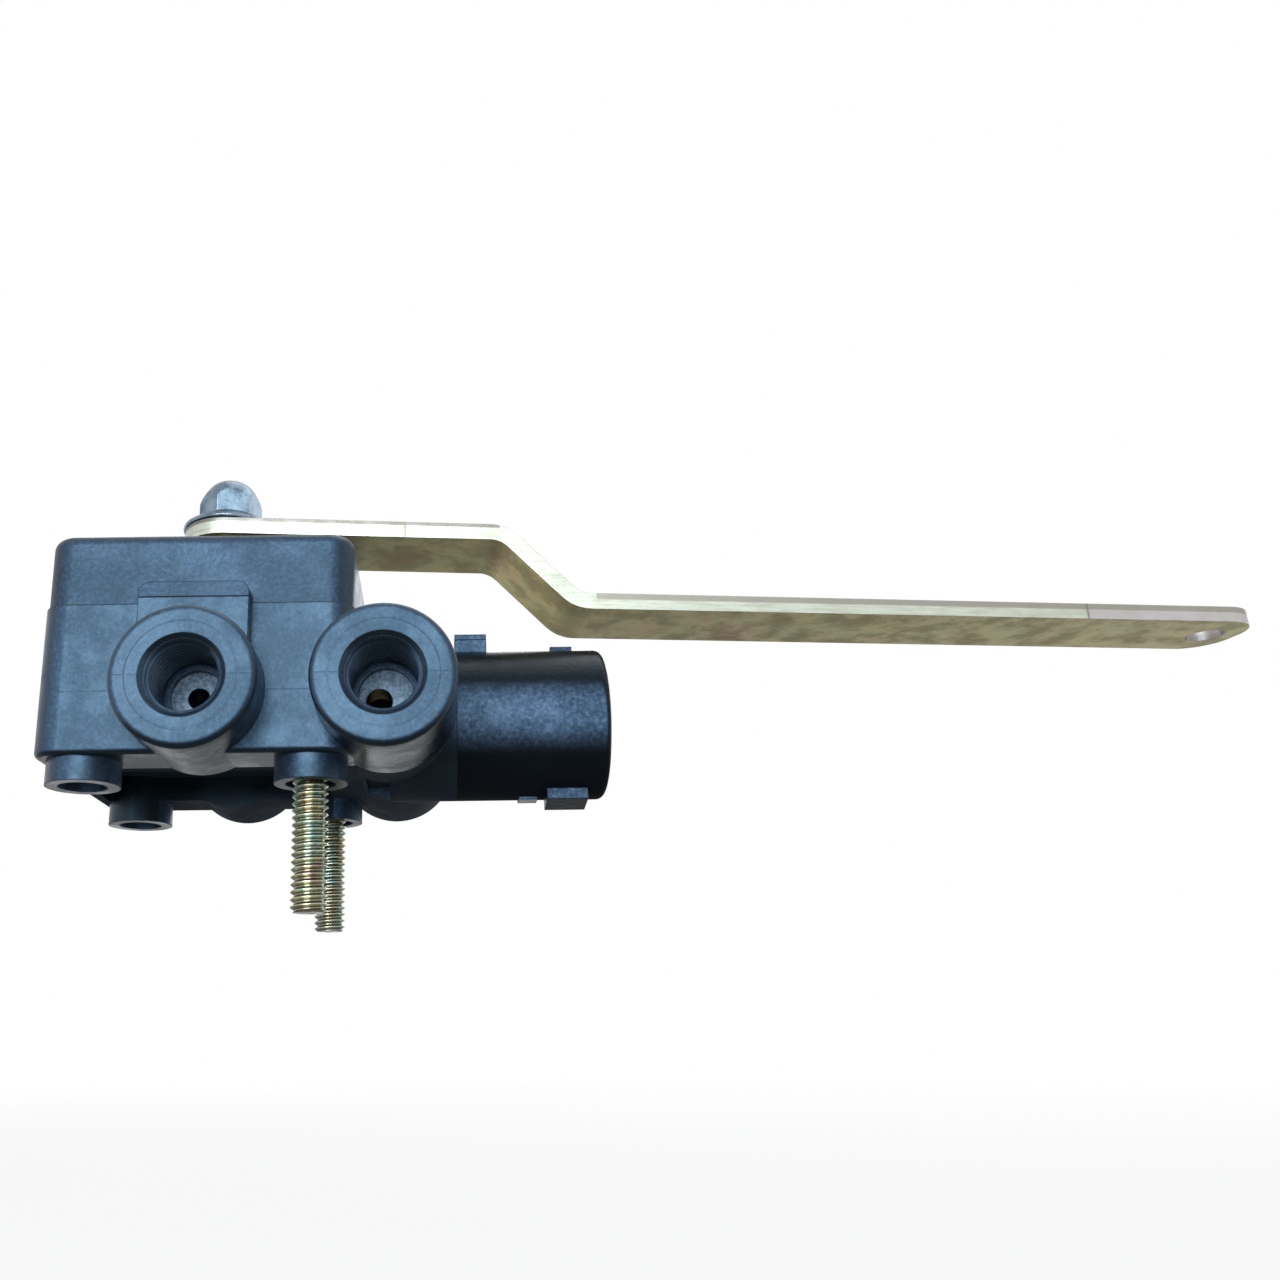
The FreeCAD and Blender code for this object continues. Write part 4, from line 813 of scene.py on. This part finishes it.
port = {"base": 6.68, "crest": 5.80, "baseWidth": 1.30, "crestWidth": 0.16, "pitch": 1.41, "start": 0.1,
        "turns": 9, "steps": 56, "mouth": 7.35, "face": 36.5, "height": 15.4}
thread = makeRidge("portThread", port)
deselectAll()
bpy.ops.mesh.primitive_cone_add(vertices=96, radius1=(port["mouth"] + 1) * mm, radius2=0,
                                depth=(port["mouth"] + 1) * mm, location=(0, 0, (port["mouth"] - 1) / 2 * mm))
mouthCone = newest("mouthCone")
applyPlace(mouthCone)
combine(thread, mouthCone, "DIFFERENCE")
tidyMesh(thread)
smooth(thread, 40)
for name, across, side in (("portThreadLeftFront", -20, -1), ("portThreadRightFront", 13.4, -1),
                           ("portThreadLeftRear", -20, 1), ("portThreadRightRear", 13.4, 1)):
    piece = twin(thread, name)
    place(piece, (-90 if side < 0 else 90, 0, 0), (across, side * port["face"], port["height"]))
    dress(piece, nylonThread, "housing_set", "black_nylon")
bpy.data.objects.remove(thread)
print("threads cut")


def makeSpring(name, spring):
    deselectAll()
    bpy.ops.mesh.primitive_circle_add(vertices=14, radius=spring["wire"] * mm,
                                      location=(spring["radius"] * mm, 0, 0), rotation=(radians(90), 0, 0))
    piece = newest(name)
    applyPlace(piece)
    inside = spring["end"] - spring["start"] - 2 * spring["wire"]
    applyModifier(piece, "SCREW", axis="Z", angle=2 * pi, screw_offset=inside / spring["turns"] * mm,
                  iterations=spring["turns"], steps=36, render_steps=36, use_smooth_shade=False)
    closeEnds(piece)
    smooth(piece, 50)
    place(piece, (0, 90, 0), (spring["start"] + spring["wire"], 0, port["height"]))
    dress(piece, metals["springSteel"], "housing_set", "steel", spring["node"])
    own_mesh(piece)


makeSpring("checkSpringCoil", {"node": "check_spring", "start": -5.98, "end": 0.53, "radius": 2.6, "wire": 0.35,
                               "turns": 4, "held": -6.0, "travel": 1.5})
makeSpring("armatureSpringCoil", {"node": "armature_spring", "start": 25.82, "end": 31.98, "radius": 1.6,
                                  "wire": 0.3, "turns": 6, "held": 32.0, "travel": 1.1})
print("springs wound")


# cover screws with a six-lobe recess
screw = {"places": ((-41.5, -20.5), (1.5, -20.5), (-41.5, 20.5), (1.5, 20.5)), "turnEach": 17, "head": 3.5,
         "headLow": 40.0, "headTop": 42.8, "edge": 0.45, "lobe": 1.62, "waist": 1.18, "deep": 1.6,
         "shank": 1.55, "tip": 20.6, "threadBase": 1.5, "threadCrest": 1.88, "pitch": 1.6}


def makeScrew():
    head = makeRod("screwHead", screw["head"], screw["headLow"], screw["headTop"], sides=48)
    pick(head, "EDGE", lambda a, b: a.z > screw["headTop"] * mm - 1e-6 and b.z > screw["headTop"] * mm - 1e-6)
    bpy.ops.mesh.bevel(offset=screw["edge"] * mm, offset_type="OFFSET", segments=3)
    leaveEdit()
    star = makeRod("screwStar", screw["lobe"], screw["headTop"] - screw["deep"], screw["headTop"] + 1, sides=48)

    def inWaist(point):
        angle = Vector((point.x, point.y)).angle_signed(Vector((1, 0)))
        return abs((angle / radians(60) + 0.5) % 1 - 0.5) > 0.3
    pick(star, "VERT", inWaist)
    bpy.ops.transform.resize(value=(screw["waist"] / screw["lobe"],) * 2 + (1,), center_override=(0, 0, 0))
    leaveEdit()
    combine(head, star, "DIFFERENCE")
    shank = makeRod("screwShank", screw["shank"], screw["tip"], screw["headLow"] + 0.5, sides=32)
    combine(head, shank, "UNION")
    turns = {"base": screw["threadBase"], "crest": screw["threadCrest"], "baseWidth": 0.8, "crestWidth": 0.12,
             "pitch": screw["pitch"], "start": screw["tip"] + 0.8, "turns": 6, "steps": 32}
    combine(head, makeRidge("screwThread", turns), "UNION")
    tidyMesh(head)
    smooth(head, 35)
    return head


firstScrew = makeScrew()
for number, (across, deep) in enumerate(screw["places"], start=1):
    piece = twin(firstScrew, f"lobeScrew{number}")
    place(piece, (0, 0, screw["turnEach"] * number), (across, deep, 0))
    dress(piece, metals["blackedSteel"], "housing_set", "steel", f"cover_screw_{number}")
bpy.data.objects.remove(firstScrew)
print("screws made")


# heights and radii of the nut's rounded top and flange
nut = {"corner": 6.41, "turn": 44.5, "low": 56.9, "bore": 3.0, "boreTop": 65.6, "at": (-20, 0),
       "middle": 64.5, "tall": 14,
       "dome": ((57.5, 9.0), (62.7, 7.1), (63.4, 6.38), (64.3, 6.03), (65.2, 5.55), (66.2, 4.98), (67.1, 4.30),
                (67.8, 3.48), (68.3, 2.40), (68.55, 1.20)),
       "skirt": ((56.95, 9.10), (57.1, 9.35), (57.4, 9.48), (57.8, 9.40), (58.1, 9.0), (58.9, 7.9), (59.6, 6.9),
                 (60.05, 6.1), (60.15, 5.2))}


def turnProfile(name, profile, sides=64):
    # rings of the given height and radius, one above the other, closed at both ends
    deselectAll()
    low, first = profile[0]
    bpy.ops.mesh.primitive_circle_add(vertices=sides, radius=first * mm, fill_type="NGON", location=(0, 0, low * mm))
    piece = newest(name)
    applyPlace(piece)
    bpy.ops.object.mode_set(mode="EDIT")
    bpy.ops.mesh.select_mode(type="FACE")
    bpy.ops.mesh.select_all(action="SELECT")
    for (lastHeight, lastRadius), (height, radius) in zip(profile, profile[1:]):
        bpy.ops.mesh.extrude_region_move(TRANSFORM_OT_translate={"value": (0, 0, (height - lastHeight) * mm)})
        bpy.ops.transform.resize(value=(radius / lastRadius, radius / lastRadius, 1),
                                 center_override=(0, 0, height * mm))
    leaveEdit()
    return piece


def makeNut():
    deselectAll()
    bpy.ops.mesh.primitive_cylinder_add(vertices=6, radius=nut["corner"] * mm, depth=nut["tall"] * mm,
                                        location=(0, 0, nut["middle"] * mm), rotation=(0, 0, radians(nut["turn"])))
    hexagon = newest("domedNut")
    applyPlace(hexagon)
    dome = turnProfile("nutDome", nut["dome"])
    closeEnds(dome)
    combine(hexagon, dome, "INTERSECT")
    skirt = turnProfile("nutSkirt", nut["skirt"])
    closeEnds(skirt)
    combine(hexagon, skirt, "UNION")
    combine(hexagon, makeRod("nutBore", nut["bore"], nut["low"] - 1, nut["boreTop"], sides=32), "DIFFERENCE")
    tidyMesh(hexagon)
    smooth(hexagon, 24)
    place(hexagon, (0, 0, 0), (*nut["at"], 0))
    dress(hexagon, metals["clearZinc"], "lever_set", "clear_zinc", "flange_nut")


makeNut()
print("nut made")


def makeStage():
    floorLook = {"height": -0.11, "size": 8.0, "colour": (0.80, 0.80, 0.80), "mirrored": (0.36, 0.36, 0.37),
                 "cameraWhite": 0.86, "glossWhite": 0.0, "fadeFrom": 0.35, "fadeTo": 1.3, "glossFrom": 0.30,
                 "glossTo": 0.50, "rough": 0.9, "specular": 0.1}
    deselectAll()
    bpy.ops.mesh.primitive_plane_add(size=floorLook["size"], location=(0, 0, floorLook["height"]))
    floor = newest("paleFloor")
    material, tree, shader = newMaterial("paleFloor")
    shader.inputs["Roughness"].default_value = floorLook["rough"]
    shader.inputs["Specular IOR Level"].default_value = floorLook["specular"]
    glow = addNode(tree, "ShaderNodeEmission", (500, -700))
    glow.inputs["Strength"].default_value = 1.0
    rays = addNode(tree, "ShaderNodeLightPath", (-200, -900))
    mirrored = maths(tree, (0, -1000), "MAXIMUM", rays.outputs["Is Glossy Ray"], rays.outputs["Is Transmission Ray"])
    plug(tree, mixColour(tree, (200, 100), mirrored, floorLook["colour"], floorLook["mirrored"]),
         shader.inputs["Base Color"])
    away = addNode(tree, "ShaderNodeVectorMath", (-200, -500), operation="LENGTH")
    plug(tree, objectPoint(tree, (-400, -500)), away.inputs[0])
    near = spread(tree, (0, -500), away.outputs["Value"], floorLook["fadeFrom"], floorLook["fadeTo"],
                  floorLook["cameraWhite"], 1.0)
    far = spread(tree, (0, -700), away.outputs["Value"], floorLook["glossFrom"], floorLook["glossTo"],
                 floorLook["glossWhite"], 1.0)
    share = maths(tree, (300, -600), "ADD", maths(tree, (200, -500), "MULTIPLY", rays.outputs["Is Camera Ray"], near),
                  maths(tree, (200, -700), "MULTIPLY", mirrored, far), clamp=True)
    mix = addNode(tree, "ShaderNodeMixShader", (700, -300))
    plug(tree, share, mix.inputs["Fac"])
    plug(tree, shader.outputs[0], mix.inputs[1])
    plug(tree, glow.outputs[0], mix.inputs[2])
    plug(tree, mix.outputs[0], tree.nodes["Material Output"].inputs["Surface"])
    floor.data.materials.append(material)


def makeWorld():
    world = bpy.data.worlds.new("studio")
    world.use_nodes = True
    tree = world.node_tree
    tree.nodes.clear()
    rays = addNode(tree, "ShaderNodeLightPath", (-600, 0))
    mirrored = maths(tree, (-450, -100), "MAXIMUM", rays.outputs["Is Glossy Ray"], rays.outputs["Is Transmission Ray"])
    seen = maths(tree, (-300, 0), "MAXIMUM", rays.outputs["Is Camera Ray"], mirrored)
    white = addNode(tree, "ShaderNodeBackground", (-100, 100), in_0=(1, 1, 1, 1), in_1=1.0)
    ambient = addNode(tree, "ShaderNodeBackground", (-100, -100), in_0=(0.93, 0.96, 1.0, 1), in_1=0.30)
    mix = addNode(tree, "ShaderNodeMixShader", (150, 0))
    leave = addNode(tree, "ShaderNodeOutputWorld", (350, 0))
    plug(tree, seen, mix.inputs["Fac"])
    plug(tree, ambient.outputs[0], mix.inputs[1])
    plug(tree, white.outputs[0], mix.inputs[2])
    plug(tree, mix.outputs[0], leave.inputs["Surface"])
    bpy.context.scene.world = world


lamps = {
    "frontBox": {"at": (-0.10, -0.78, 0.20), "size": 0.55, "power": 5.6, "colour": (0.86, 0.94, 1.0)},
    "topBox": {"at": (0.20, 0.15, 0.90), "size": 0.70, "power": 2.0, "colour": (1.0, 0.99, 0.97)},
    "rearBox": {"at": (0.35, 0.85, 0.35), "size": 0.60, "power": 1.8, "colour": (0.95, 0.97, 1.0)},
}


def makeLamps():
    for name, lamp in lamps.items():
        light = bpy.data.lights.new(name, "AREA")
        light.shape = "SQUARE"
        light.size = lamp["size"]
        light.energy = lamp["power"]
        light.color = lamp["colour"]
        holder = bpy.data.objects.new(name, light)
        bpy.context.scene.collection.objects.link(holder)
        holder.location = lamp["at"]
        aim = Vector((0.0, 0.0, 0.02)) - Vector(lamp["at"])
        holder.rotation_euler = aim.to_track_quat("-Z", "Y").to_euler()


def makeCamera():
    shot = {"at": (0.02129, -0.21142, -0.04008), "up": 16.90, "roll": -0.72, "lens": 31.243,
            "shift": (0.1633, 0.0346)}
    up, roll = radians(shot["up"]), radians(shot["roll"])
    forward = Vector((0, cos(up), sin(up)))
    right = Vector((1, 0, 0))
    above = right.cross(forward)
    turnedRight = cos(roll) * right + sin(roll) * above
    turnedUp = -sin(roll) * right + cos(roll) * above
    camera = bpy.data.cameras.new("photoCamera")
    camera.sensor_width = 36
    camera.lens = shot["lens"]
    camera.shift_x, camera.shift_y = shot["shift"]
    camera.clip_start = 0.01
    camera.clip_end = 20
    holder = bpy.data.objects.new("photoCamera", camera)
    bpy.context.scene.collection.objects.link(holder)
    axes = Matrix((turnedRight, turnedUp, -forward)).transposed().to_4x4()
    holder.matrix_world = Matrix.Translation(shot["at"]) @ axes
    bpy.context.scene.camera = holder


makeStage()
makeWorld()
makeLamps()
makeCamera()
bpy.context.scene.view_settings.view_transform = "Standard"
print("stage, light and camera set")

deselectAll()
